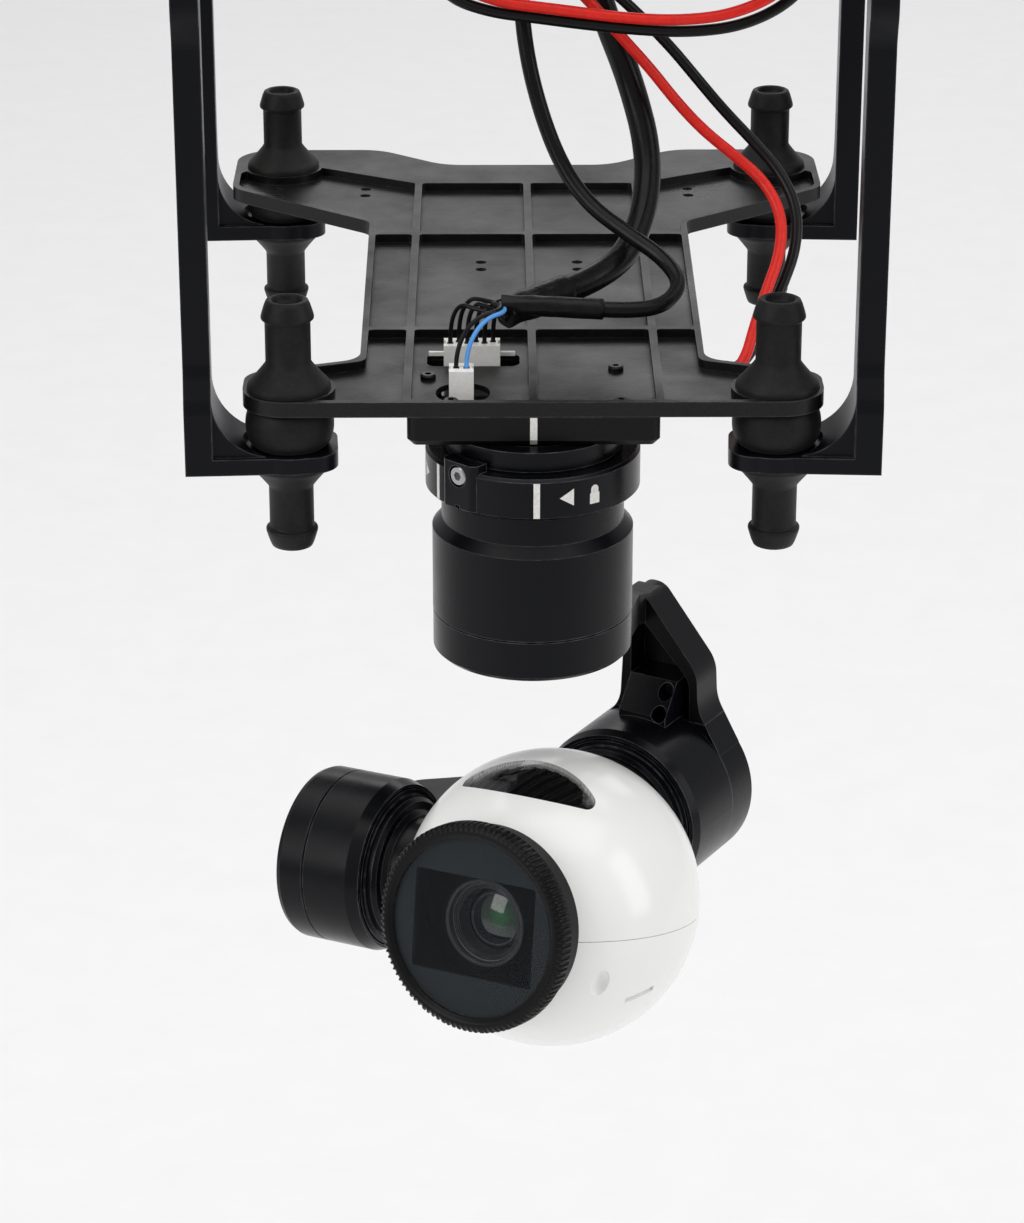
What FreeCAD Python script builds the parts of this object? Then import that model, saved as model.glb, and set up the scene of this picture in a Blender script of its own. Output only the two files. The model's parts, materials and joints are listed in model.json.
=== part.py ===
import FreeCAD, Part
import math
import os

"""Three-axis camera gimbal on a rubber-damped hanger plate.

Frame: millimetres, +Z up, +X to the right and +Y to the rear. The origin is the centre of
the four-hole pattern in the top flanges, on the face that meets the airframe. The gimbal is
first built looking straight to the front, then turned to its rest pose about its own axes.
"""

Vec = FreeCAD.Vector
X_AXIS, Y_AXIS, Z_AXIS = Vec(1, 0, 0), Vec(0, 1, 0), Vec(0, 0, 1)

# ---------------------------------------------------------------- driving dimensions
CLEAR = 0.3                # gap between pieces that move past each other
SLIP = 0.02                # radial running clearance of a shaft in its bearings

# hanger
HANGER_HEIGHT = 115.0      # top flange face to foot underside
FRONT_DAMPER_X = 47.5      # half the spacing of the front dampers
REAR_DAMPER_X = 55.8       # half the spacing of the rear dampers
DAMPER_SPAN_Y = 150.6      # front dampers to rear dampers
LEG_OFFSET = 20.4          # damper line to the outer face of a bracket
LEG_THICK = 5.35
LEG_DEPTH = 17.5           # at the foot and at the rail
LEG_WAIST = 13.4           # between the two fillets
WAIST_TOP, WAIST_FOOT = 24.0, 14.0
FOOT_THICK = 3.3
FOOT_TIP_R = 9.3
FOOT_FILLET = 12.0
RAIL_HEIGHT = 8.0
FLANGE_REACH = 24.0
BOLT_X, BOLT_Y = 120.0, 120.0
BOLT_R = 1.65

# cable bridge and its connector housing
BRIDGE_Y, BRIDGE_WIDTH, BRIDGE_THICK = -16.0, 36.0, 3.0
BRIDGE_SCREW_X, BRIDGE_SCREW_Y = 112.0, 28.0
BRIDGE_SLOT_X, BRIDGE_SLOT_LONG, BRIDGE_SLOT_WIDE = 34.0, 22.0, 8.0
SCREW_R, SCREW_HEAD_R, SCREW_HEAD_H = 1.4, 2.7, 1.8
SOCKET_SHARE = 0.9         # corner radius of the hexagon over the screw's radius
JUNCTION_SIZE = (66.0, 20.0, 11.0)
JUNCTION_X = 27.0

# dampers
DAMPER_BALL_R = 8.75
DAMPER_GAP = 8.5           # plate underside to foot top
DAMPER_NECK_R = 4.45
DAMPER_CONE_R = 8.25
DAMPER_CONE_H = 4.8
DAMPER_TOP, DAMPER_BOTTOM = 18.0, 18.0   # reach above the plate and below the foot
DAMPER_BARB_R, DAMPER_BARB_H = 5.2, 4.2
DAMPER_TIP_R = 4.0
DAMPER_BORE_R, DAMPER_BORE_DEPTH = 2.95, 1.5

# damper plate
PLATE_THICK = 3.1
PLATE_FLOOR = 1.2
AXIS_BEHIND_DAMPERS = 5.0  # yaw axis behind the front dampers
RIB = 1.6
RIB_X = 24.5
CROSS_RIBS_Y = (30.3, 94.4)
REAR_RIM_Y = 132.0
ACCESSORY_R, ACCESSORY_STEP = 1.2, 5.0
ACCESSORY_PAIRS = ((56.6, 131.0), (36.5, 131.0), (10.3, 77.0))
BOSS_R = 9.0                # raised seat of each damper

# mount block and quick-release collar
BLOCK_HALF_X, BLOCK_FRONT, BLOCK_REAR, BLOCK_H = 24.5, -14.0, 21.5, 6.0
BLOCK_FLOOR, BLOCK_CHAMFER = 1.9, 1.2
BLOCK_POCKET = (-22.0, 13.0, -7.4, 19.5)   # left, right, front and rear, from the yaw axis
BLOCK_SCREW_R, BLOCK_SCREW_LONG = 0.8, 4.6
BOARD_GAP, BOARD_THICK = 0.2, 1.6
PILLAR_R, PILLAR_GAP = 2.6, 0.1
CABLE_EXIT_R = 5.0
SIGNAL_HEADER = (-12.0, 16.1, 11.2, 5.0)   # middle, width and depth
CONTROL_HEADER = (-14.0, -2.0, 4.8, 5.2)
SIGNAL_STAND, CONTROL_STAND = 1.9, 2.9     # connector tops above the plate
SIGNAL_SLOT = (-21.0, -2.5, 12.4, 19.7)
CONTROL_SLOT = (-19.0, -8.4, -9.0, 2.5)
CONTROL_SLOT_R = 5.2
POWER_PLUG = (32.0, 10.5, 19.5)            # outer end, front and rear
COLLAR_R, COLLAR_H = 17.7, 4.0
SPIGOT_R = 17.0
SOCKET_R = 14.0
RING_R, RING_H, RING_CHAMFER = 21.2, 8.8, 0.6
LUG_RISE, LUG_HALF_W, LUG_PROUD = 1.7, 4.4, 0.5   # clamp lug above and outside the ring
CLAMP_SCREW_R, CLAMP_SCREW_LONG = 1.05, 2.0
NECK_R, NECK_H = 18.1, 6.1

# motors
YAW_R, YAW_DEPTH, YAW_CAP_H = 19.95, 17.0, 8.3
ROLL_R, ROLL_DEPTH = 19.35, 17.0
PITCH_R, PITCH_DEPTH = 18.3, 13.0
MOTOR_WALL, MOTOR_BACK = 1.5, 2.0
SHAFT_R, BEARING_R, TUBE_R, BEARING_H = 2.5, 5.0, 7.0, 2.5
STATOR_GAP, MAGNET_THICK, SLEEVE_THICK = 0.5, 1.4, 1.0
STATOR_TEETH = 12

# gimbal layout, straight ahead, from the yaw axis
AXIS_DROP = 54.0           # yaw rotor's underside down to the roll and pitch axes
BALL_X, BALL_Y = 7.1, -4.3
ROLL_REACH = 22.4          # ball radius to the closed end of the roll motor
ROLL_CAP_H = 8.9
PITCH_REACH = 18.5         # ball radius to the closed end of the pitch motor
PITCH_CAP_H = 7.3
ARM_RISE, ARM_SPLIT_RISE = 44.5, 17.5   # arm's top, and its joint, above the axes
BEAM_FRONT, BEAM_THICK = 3.2, 6.2
REST_YAW, REST_ROLL, REST_PITCH = -30.65, -3.5, 12.0

# camera
BALL_R, SHELL = 30.5, 1.6
SHELL_SPLIT = -1.0
HUB_INSET = 2.5            # flat on the pitch side, inside the ball
LENS_STANDOUT = 2.4        # filter ring's face ahead of the ball
FILTER_R, FILTER_H = 21.3, 4.2
GLASS_R, GLASS_THICK = 18.2, 1.0
VENT_TIP_R = 2.2
BEZEL_R = 20.0
BARREL_R = 9.1
MASK_W, MASK_H = 27.5, 20.4

# cables
SIGNAL_R, CONTROL_R, POWER_R, WIRE_R = 2.75, 1.6, 1.15, 0.45

# ---------------------------------------------------------------- places worked out once
YAW_Y = -DAMPER_SPAN_Y / 2 + AXIS_BEHIND_DAMPERS
FOOT_TOP = -HANGER_HEIGHT + FOOT_THICK
PLATE_BOTTOM = FOOT_TOP + DAMPER_GAP
PLATE_TOP = PLATE_BOTTOM + PLATE_THICK
BLOCK_BOTTOM = PLATE_BOTTOM - BLOCK_H
COLLAR_BOTTOM = BLOCK_BOTTOM - COLLAR_H
RING_BOTTOM = COLLAR_BOTTOM - RING_H
NECK_TOP = RING_BOTTOM - CLEAR
NECK_BOTTOM = NECK_TOP - NECK_H
YAW_SEAM = NECK_BOTTOM - 2.1 - YAW_DEPTH - 0.4
YAW_BOTTOM = YAW_SEAM - CLEAR - YAW_CAP_H
AXIS_Z = YAW_BOTTOM - AXIS_DROP
ARM_TOP_Z, ARM_SPLIT_Z = AXIS_Z + ARM_RISE, AXIS_Z + ARM_SPLIT_RISE
ROLL_BACK_Y = BALL_R + ROLL_REACH
ARM_BACK_Y = ROLL_BACK_Y + ROLL_CAP_H
PITCH_BACK = BALL_R + PITCH_REACH
HUB_FLAT = BALL_R - HUB_INSET
LENS_FRONT = BALL_R + LENS_STANDOUT
TOE = math.degrees(math.atan2(REAR_DAMPER_X - FRONT_DAMPER_X, DAMPER_SPAN_Y))
DAMPER_PLACES = {
    "front_left_damper": (-FRONT_DAMPER_X, -DAMPER_SPAN_Y / 2),
    "front_right_damper": (FRONT_DAMPER_X, -DAMPER_SPAN_Y / 2),
    "rear_left_damper": (-REAR_DAMPER_X, DAMPER_SPAN_Y / 2),
    "rear_right_damper": (REAR_DAMPER_X, DAMPER_SPAN_Y / 2),
}

NODES = {}


# ---------------------------------------------------------------- shape helpers
def box(x0, x1, y0, y1, z0, z1):
    """Box between two corners."""
    return Part.makeBox(x1 - x0, y1 - y0, z1 - z0, Vec(x0, y0, z0))


def rod(radius, start, end):
    """Cylinder from one point to another."""
    start, end = Vec(*start), Vec(*end)
    return Part.makeCylinder(radius, start.distanceToPoint(end), start, end - start)


def ring(outer, inner, z0, z1, x=0.0, y=0.0):
    """Upright tube."""
    return rod(outer, (x, y, z0), (x, y, z1)).cut(rod(inner, (x, y, z0 - 1), (x, y, z1 + 1)))


def turned(profile):
    """Solid turned about Z from a closed outline of (radius, z) points."""
    points = [Vec(r, 0, z) for r, z in profile]
    face = Part.Face(Part.makePolygon(points + points[:1]))
    return face.revolve(Vec(0, 0, 0), Z_AXIS, 360)


def outline_wire(points):
    """Closed wire in the XY plane through (x, y, corner radius) points."""
    count = len(points)
    edges, starts, ends, arcs = [], [], [], []
    for i, (x, y, radius) in enumerate(points):
        here = Vec(x, y, 0)
        before = Vec(*points[i - 1][:2], 0) - here
        after = Vec(*points[(i + 1) % count][:2], 0) - here
        if radius <= 0:
            starts.append(here)
            ends.append(here)
            arcs.append(None)
            continue
        half = before.getAngle(after) / 2
        reach = min(radius / math.tan(half), 0.49 * before.Length, 0.49 * after.Length)
        radius = reach * math.tan(half)
        before.normalize()
        after.normalize()
        bisector = (before + after).normalize()
        centre = here + bisector * (radius / math.sin(half))
        starts.append(here + before * reach)
        ends.append(here + after * reach)
        arcs.append(centre - bisector * radius)
    for i in range(count):
        if arcs[i] is not None:
            edges.append(Part.Arc(starts[i], arcs[i], ends[i]).toShape())
        following = starts[(i + 1) % count]
        if ends[i].distanceToPoint(following) > 1e-6:
            edges.append(Part.LineSegment(ends[i], following).toShape())
    return Part.Wire(edges)


def slab(points, z0, z1):
    """Upright prism of an outline with rounded corners."""
    face = Part.Face(outline_wire(points))
    return face.extrude(Vec(0, 0, z1 - z0)).translated(Vec(0, 0, z0))


def rounded_box(x0, x1, y0, y1, radius):
    """Rectangle with one corner radius."""
    return [(x0, y0, radius), (x1, y0, radius), (x1, y1, radius), (x0, y1, radius)]


def mirrored(points):
    """Outline closed by its own mirror image in X."""
    return points + [(-x, y, radius) for x, y, radius in reversed(points)]


def fused(shapes):
    """One solid from overlapping or touching solids."""
    whole = shapes[0]
    for shape in shapes[1:]:
        whole = whole.fuse(shape)
    return whole.removeSplitter()


def group(shapes):
    """Separate solids kept in one node."""
    return Part.makeCompound(shapes)


def turn(shape, centre, axis, degrees):
    """Copy of a shape turned about an axis through a point."""
    copy = shape.copy()
    copy.rotate(Vec(*centre), axis, degrees)
    return copy


def upright_to(shape, origin, direction):
    """Copy of a shape whose +Z is laid along a direction from an origin."""
    copy = shape.copy()
    copy.Placement = FreeCAD.Placement(Vec(*origin), FreeCAD.Rotation(Z_AXIS, Vec(*direction)))
    return copy


def chamfered(shape, size, chosen):
    """Chamfer the edges that a test picks."""
    edges = [edge for edge in shape.Edges if chosen(edge)]
    return shape.makeChamfer(size, edges) if edges else shape


# ---------------------------------------------------------------- hanger
def hanger_bracket():
    """Right bracket along its damper line: X outward from the line, Y along it."""
    outer, inner = LEG_OFFSET, LEG_OFFSET - LEG_THICK
    half_span = DAMPER_SPAN_Y / 2 / math.cos(math.radians(TOE))
    half = LEG_DEPTH / 2
    shave = LEG_DEPTH - LEG_WAIST
    foot_bottom = -HANGER_HEIGHT
    shapes = []
    for end in (-1, 1):
        y = end * half_span
        # the leg is shaved on its outward-facing edge between two fillets
        edge, waist = y + end * half, y + end * (half - shave)
        back = y - end * half
        points = [(back, 0, 0), (edge, 0, 0), (edge, -WAIST_TOP, 5), (waist, -WAIST_TOP - 6, 5),
                  (waist, foot_bottom + WAIST_FOOT + 6, 5), (edge, foot_bottom + WAIST_FOOT, 5),
                  (edge, foot_bottom, 0), (back, foot_bottom, 0)]
        leg = slab(points, inner, outer)
        leg = turn(turn(leg, (0, 0, 0), X_AXIS, 90), (0, 0, 0), Z_AXIS, 90)
        foot = slab([(outer, y - half, 0), (outer, y + half, 0), (2, y + half, 6),
                     (-FOOT_TIP_R, y + FOOT_TIP_R * 0.94, FOOT_TIP_R),
                     (-FOOT_TIP_R, y - FOOT_TIP_R * 0.94, FOOT_TIP_R), (2, y - half, 6)],
                    foot_bottom, FOOT_TOP)
        foot = foot.fuse(rod(FOOT_TIP_R, (0, y, foot_bottom), (0, y, FOOT_TOP)))
        corner = Vec(inner - FOOT_FILLET, 0, FOOT_TOP + FOOT_FILLET)
        web = box(inner - FOOT_FILLET, inner, y - half + 1, y + half - 1,
                  FOOT_TOP, FOOT_TOP + FOOT_FILLET)
        web = web.cut(rod(FOOT_FILLET, (corner.x, y - LEG_DEPTH, corner.z),
                          (corner.x, y + LEG_DEPTH, corner.z)))
        web = web.cut(rod(DAMPER_BALL_R + 0.4, (0, y, FOOT_TOP), (0, y, 0)))
        part = leg.fuse(foot).fuse(web)
        shapes.append(part.cut(rod(DAMPER_NECK_R + 0.05, (0, y, foot_bottom - 1), (0, y, 0))))
    reach = half_span + half
    shapes.append(box(inner, outer, -reach, reach, -RAIL_HEIGHT, 0))
    shapes.append(slab([(outer, -reach, 0), (outer, reach, 0),
                        (outer - FLANGE_REACH, reach, 6), (outer - FLANGE_REACH, -reach, 6)],
                       -FOOT_THICK, 0))
    return fused(shapes)


def build_hanger():
    """Two brackets, the cable bridge between them, its screws and the connector housing."""
    line_x = (FRONT_DAMPER_X + REAR_DAMPER_X) / 2
    right = turn(hanger_bracket(), (0, 0, 0), Z_AXIS, -TOE).translated(Vec(line_x, 0, 0))
    for x in (-1, 1):
        for y in (-1, 1):
            place = (x * BOLT_X / 2, y * BOLT_Y / 2)
            right = right.cut(rod(BOLT_R, (*place, -RAIL_HEIGHT), (*place, 1)))
    under = -FOOT_THICK
    bridge_bottom = under - BRIDGE_THICK
    screws, holes, taps = [], [], []
    for x in (-BRIDGE_SCREW_X / 2, BRIDGE_SCREW_X / 2):
        for y in (BRIDGE_Y - BRIDGE_SCREW_Y / 2, BRIDGE_Y + BRIDGE_SCREW_Y / 2):
            head = bridge_bottom - SCREW_HEAD_H
            screws.append(socket_screw((x, y, bridge_bottom), (0, 0, -1),
                                       BRIDGE_THICK + FOOT_THICK - 0.4))
            holes.append(rod(SCREW_R, (x, y, head), (x, y, -0.4)))
    for hole in holes:
        right = right.cut(hole)
    left = right.mirror(Vec(0, 0, 0), X_AXIS)
    NODES["right_hanger_bracket"] = right
    NODES["left_hanger_bracket"] = left
    half_x = BRIDGE_SCREW_X / 2 + 5.5
    y0, y1 = BRIDGE_Y - BRIDGE_WIDTH / 2, BRIDGE_Y + BRIDGE_WIDTH / 2
    bar = slab([(-half_x, y0, 4), (half_x, y0, 4), (half_x, y1, 4), (-half_x, y1, 4)],
               bridge_bottom, under)
    long, wide = BRIDGE_SLOT_LONG / 2, BRIDGE_SLOT_WIDE / 2
    for x in (-BRIDGE_SLOT_X, BRIDGE_SLOT_X):
        bar = bar.cut(slab(rounded_box(x - long, x + long, BRIDGE_Y - wide, BRIDGE_Y + wide,
                                       wide - 0.1), bridge_bottom - 1, under + 1))
    for hole in holes:
        bar = bar.cut(hole)
    NODES["cable_bridge"] = bar
    NODES["bridge_screws"] = group(screws)
    NODES["junction_block"] = junction_block(bridge_bottom)


def junction_block(top):
    """Connector housing under the bridge, with one socket for each cable end."""
    length, width, height = JUNCTION_SIZE
    x0, x1 = JUNCTION_X - length / 2, JUNCTION_X + length / 2
    y0, y1 = BRIDGE_Y - width / 2, BRIDGE_Y + width / 2
    block = slab([(x0, y0, 2), (x1, y0, 2), (x1, y1, 2), (x0, y1, 2)], top - height, top)
    for name, radius in CABLE_RADII.items():
        x, y = CABLE_ROUTES[name][-1][:2]
        block = block.cut(rod(radius + CLEAR, (x, y, top - height - 1), (x, y, top - 3)))
    return block


def socket_screw(seat, direction, length, radius=SCREW_R):
    """Hex-socket screw: the shank runs back from the seat, the head stands out along direction."""
    head_r, head_h = radius * SCREW_HEAD_R / SCREW_R, radius * SCREW_HEAD_H / SCREW_R
    head = turned([(0, 0), (head_r, 0), (head_r, head_h - 0.3), (head_r - 0.3, head_h),
                   (0, head_h)])
    across = radius * SOCKET_SHARE
    hexagon = [(across * math.cos(math.radians(a)), across * math.sin(math.radians(a)), 0)
               for a in range(0, 360, 60)]
    head = head.cut(slab(hexagon, head_h * 0.35, head_h + 1))
    screw = head.fuse(rod(radius, (0, 0, -length), (0, 0, 0))).removeSplitter()
    return upright_to(screw, seat, direction)


# ---------------------------------------------------------------- dampers and plate
def damper(x, y):
    """Rubber damper: barbed stems above the plate and below the foot, a ball between them."""
    neck = DAMPER_NECK_R
    middle = (PLATE_BOTTOM + FOOT_TOP) / 2
    foot_bottom = FOOT_TOP - FOOT_THICK
    top, bottom = PLATE_TOP + DAMPER_TOP, foot_bottom - DAMPER_BOTTOM
    upper = [(0, PLATE_TOP), (DAMPER_CONE_R, PLATE_TOP), (DAMPER_CONE_R - 0.3, PLATE_TOP + 1.2),
             (neck + 0.6, PLATE_TOP + DAMPER_CONE_H), (neck, PLATE_TOP + DAMPER_CONE_H + 1),
             (neck, top - DAMPER_BARB_H), (DAMPER_BARB_R, top - DAMPER_BARB_H + 0.3),
             (DAMPER_BARB_R - 0.1, top - DAMPER_BARB_H + 1.0), (neck, top - 0.7),
             (DAMPER_TIP_R, top), (0, top)]
    lower = [(0, foot_bottom), (DAMPER_CONE_R, foot_bottom),
             (DAMPER_CONE_R - 0.3, foot_bottom - 1.2), (neck + 0.6, foot_bottom - DAMPER_CONE_H),
             (neck, foot_bottom - DAMPER_CONE_H - 1), (neck, bottom + DAMPER_BARB_H),
             (DAMPER_BARB_R, bottom + DAMPER_BARB_H - 0.3),
             (DAMPER_BARB_R - 0.1, bottom + DAMPER_BARB_H - 1.0), (neck, bottom + 0.7),
             (DAMPER_TIP_R, bottom), (0, bottom)]
    ball = Part.makeSphere(DAMPER_BALL_R, Vec(0, 0, middle))
    ball = ball.common(rod(DAMPER_BALL_R + 1, (0, 0, FOOT_TOP), (0, 0, PLATE_BOTTOM)))
    whole = fused([turned(upper), turned(lower), ball.fuse(
        rod(neck, (0, 0, foot_bottom - 1), (0, 0, PLATE_TOP + 1)))])
    whole = whole.cut(rod(DAMPER_BORE_R, (0, 0, top - DAMPER_BORE_DEPTH), (0, 0, top + 1)))
    return whole.translated(Vec(x, y, 0))


def plate_outline():
    """Butterfly outline of the plate, measured from the yaw axis."""
    arm_x, waist_x = FRONT_DAMPER_X + 9.0, 34.2
    front = -AXIS_BEHIND_DAMPERS - 9.0
    rear = DAMPER_SPAN_Y - AXIS_BEHIND_DAMPERS
    half = [(arm_x, front, 9), (arm_x, 3.4, 6), (waist_x, 11.5, 5), (waist_x + 0.6, 103, 4),
            (REAR_DAMPER_X + 10.8, rear - 17, 7), (REAR_DAMPER_X + 10.8, rear + 13.2, 9),
            (34, rear + 13.2, 12), (19, rear + 0.8, 12)]
    return mirrored(half)


def plate_pockets():
    """Outlines of the shallow pockets between the ribs, measured from the yaw axis."""
    inner, outer = RIB / 2, RIB_X - RIB / 2
    side, rim = RIB_X + RIB / 2, 33.0
    rows = [(-12.6, CROSS_RIBS_Y[0] - RIB / 2),
            (CROSS_RIBS_Y[0] + RIB / 2, CROSS_RIBS_Y[1] - RIB / 2),
            (CROSS_RIBS_Y[1] + RIB / 2, REAR_RIM_Y)]
    pockets = []
    for y0, y1 in rows:
        pockets.append([(inner, y0, 1), (outer, y0, 1), (outer, y1, 1), (inner, y1, 1)])
    y0, y1 = rows[0]
    pockets.append([(side, y0, 1), (43, y0, 0), (44, -5, 0), (47.5, 0, 0), (47.5, 5.2, 0.5),
                    (rim, 10.45, 3), (rim, y1, 1), (side, y1, 1)])
    y0, y1 = rows[1]
    pockets.append([(side, y0, 1), (rim, y0, 1), (rim + 0.3, y1, 1), (side, y1, 1)])
    y0, y1 = rows[2]
    pockets.append([(side, y0, 1), (rim + 0.3, y0, 1), (rim + 0.6, 104.0, 2), (65.2, 129.3, 5.8),
                    (65.2, 140.8, 2), (57, 146, 0), (50, 146.1, 0), (side, y1, 1)])
    return pockets


def build_plate():
    """The ribbed plate with its slots and holes."""
    plate = slab(plate_outline(), PLATE_BOTTOM, PLATE_TOP).translated(Vec(0, YAW_Y, 0))
    for pocket in plate_pockets():
        for sign in (-1, 1):
            points = [(sign * x, y, radius) for x, y, radius in pocket]
            cut = slab(points, PLATE_BOTTOM + PLATE_FLOOR, PLATE_TOP + 1)
            cut = cut.translated(Vec(0, YAW_Y, 0))
            for x, y in DAMPER_PLACES.values():
                cut = cut.cut(rod(BOSS_R, (x, y, PLATE_BOTTOM), (x, y, PLATE_TOP + 2)))
            plate = plate.cut(cut)
    holes = [(x, y, BLOCK_SCREW_R + 0.1) for x, y in BLOCK_SCREWS]
    for x, y in ACCESSORY_PAIRS:
        for side, step in ((-1, -1), (-1, 1), (1, -1), (1, 1)):
            holes.append((side * x, YAW_Y + y + step * ACCESSORY_STEP / 2, ACCESSORY_R))
    for x, y, radius in holes:
        plate = plate.cut(rod(radius, (x, y, PLATE_BOTTOM - 1), (x, y, PLATE_TOP + 1)))
    slot, oval = rounded_box(*SIGNAL_SLOT, 2), rounded_box(*CONTROL_SLOT, CONTROL_SLOT_R)
    for opening in (slot, oval):
        plate = plate.cut(slab(opening, PLATE_BOTTOM - 1, PLATE_TOP + 1)
                          .translated(Vec(0, YAW_Y, 0)))
    for x, y in DAMPER_PLACES.values():
        plate = plate.cut(rod(DAMPER_NECK_R + 0.05, (x, y, PLATE_BOTTOM - 1),
                              (x, y, PLATE_TOP + 1)))
    NODES["damper_plate"] = plate
    for name, place in DAMPER_PLACES.items():
        NODES[name] = damper(*place)


BLOCK_SCREWS = [(16.5, YAW_Y + 10.0), (-20.6, YAW_Y + 5.2), (17.0, YAW_Y - 9.6),
                (-16.0, YAW_Y - 9.6)]


# ---------------------------------------------------------------- mount block and lock ring
def build_mount():
    """Block under the plate with its board and connectors, the collar and the lock ring."""
    floor = BLOCK_BOTTOM + BLOCK_FLOOR
    x, y0, y1 = BLOCK_HALF_X, BLOCK_FRONT, BLOCK_REAR
    block = slab([(-x, y0, 2), (x, y0, 2), (x, y1, 3), (-x, y1, 3)], BLOCK_BOTTOM, PLATE_BOTTOM)
    block = chamfered(block, BLOCK_CHAMFER, lambda e: e.BoundBox.ZMax < BLOCK_BOTTOM + 0.01)
    left, right, front, rear = BLOCK_POCKET
    block = block.cut(slab(rounded_box(*BLOCK_POCKET, 2), floor, PLATE_BOTTOM + 1))
    block = block.cut(rod(CABLE_EXIT_R, (0, 0, BLOCK_BOTTOM - 1), (0, 0, floor + 1)))
    block = block.translated(Vec(0, YAW_Y, 0))
    board_z = floor + BOARD_THICK
    board = rounded_box(left + BOARD_GAP, right - BOARD_GAP, front + BOARD_GAP,
                        rear - BOARD_GAP, 2)
    circuit = slab(board, floor, board_z).translated(Vec(0, YAW_Y, 0))
    for place in BLOCK_SCREWS:
        if left < place[0] < right and front < place[1] - YAW_Y < rear:
            block = block.fuse(rod(PILLAR_R, (*place, floor), (*place, PLATE_BOTTOM)))
            circuit = circuit.cut(rod(PILLAR_R + PILLAR_GAP, (*place, floor - 1),
                                      (*place, board_z + 1)))
    block = block.removeSplitter()
    screws = []
    for place in BLOCK_SCREWS:
        seat = PLATE_BOTTOM + PLATE_FLOOR
        screws.append(socket_screw((*place, seat), (0, 0, 1), BLOCK_SCREW_LONG, BLOCK_SCREW_R))
        block = block.cut(rod(BLOCK_SCREW_R, (*place, seat - BLOCK_SCREW_LONG),
                              (*place, PLATE_BOTTOM + 1)))
    NODES["mount_block"] = block
    NODES["connector_board"] = circuit
    NODES["block_screws"] = group(screws)
    signal = header(SIGNAL_HEADER, board_z, PLATE_TOP + SIGNAL_STAND, 1.0)
    middle = YAW_Y + SIGNAL_HEADER[1]
    wings = box(-20.6, -3.4, middle - 0.4, middle + 0.4, PLATE_TOP - 0.9, PLATE_TOP - 0.1)
    NODES["signal_connector"] = fused([signal, wings])
    NODES["control_connector"] = header(CONTROL_HEADER, board_z, PLATE_TOP + CONTROL_STAND, 0.7)
    end, front, rear = POWER_PLUG
    power = slab([(BLOCK_HALF_X, front, 0), (end, front, 0.8), (end, rear, 0.8),
                  (BLOCK_HALF_X, rear, 0)], BLOCK_BOTTOM + 0.4, PLATE_BOTTOM - 0.6)
    NODES["power_connector"] = power.translated(Vec(0, YAW_Y, 0))

    collar = fused([ring(COLLAR_R, SOCKET_R, COLLAR_BOTTOM, BLOCK_BOTTOM),
                    ring(SPIGOT_R, SOCKET_R, RING_BOTTOM + 0.6, COLLAR_BOTTOM)])
    NODES["bayonet_collar"] = collar.translated(Vec(0, YAW_Y, 0))
    bore = SPIGOT_R + CLEAR
    top, bottom = COLLAR_BOTTOM - CLEAR, RING_BOTTOM
    lock = turned([(bore, bottom), (RING_R - 0.6, bottom), (RING_R, bottom + 0.6),
                   (RING_R, top - RING_CHAMFER), (RING_R - RING_CHAMFER, top), (bore, top)])
    lug_top, lug_face = top + LUG_RISE, RING_R + LUG_PROUD
    lug = slab([(-LUG_HALF_W, 2, 0), (LUG_HALF_W, 2, 0), (LUG_HALF_W, lug_face, 1.6),
                (-LUG_HALF_W, lug_face, 1.6)], bottom + 0.8, lug_top)
    lug = lug.cut(rod(bore, (0, 0, bottom - 1), (0, 0, lug_top + 1)))
    lug = lug.cut(rod(COLLAR_R + 3 * CLEAR, (0, 0, top), (0, 0, lug_top + 1)))
    height, seat_y = lug_top - 2.8, RING_R - 0.9
    screw = socket_screw((0, seat_y, height), (0, 1, 0), CLAMP_SCREW_LONG, CLAMP_SCREW_R)
    seat = rod(CLAMP_SCREW_R * SCREW_HEAD_R / SCREW_R + 0.2, (0, seat_y, height),
               (0, RING_R + 2, height))
    bolt = rod(CLAMP_SCREW_R, (0, seat_y - CLAMP_SCREW_LONG, height), (0, RING_R, height))
    lock = fused([lock, lug]).cut(seat).cut(bolt)
    lock = lock.cut(box(-0.5, 0.5, SPIGOT_R, RING_R + 1, bottom - 1, bottom + 1.4))
    lug_turn = 180 - 43
    NODES["lock_ring"] = turn(lock, (0, 0, 0), Z_AXIS, lug_turn).translated(Vec(0, YAW_Y, 0))
    NODES["clamp_screw"] = turn(screw, (0, 0, 0), Z_AXIS, lug_turn).translated(Vec(0, YAW_Y, 0))


def header(plan, z0, z1, notch):
    """Small upright connector with a notch down each side."""
    x, y, width, depth = plan
    body = box(x - width / 2, x + width / 2, y - depth / 2, y + depth / 2, z0, z1)
    for side in (-1, 1):
        edge = x + side * width / 2
        body = body.cut(box(edge - 0.4, edge + 0.4, y - notch, y + notch, z0 + 2.4, z1 + 1))
    return body.translated(Vec(0, YAW_Y, 0))


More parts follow.
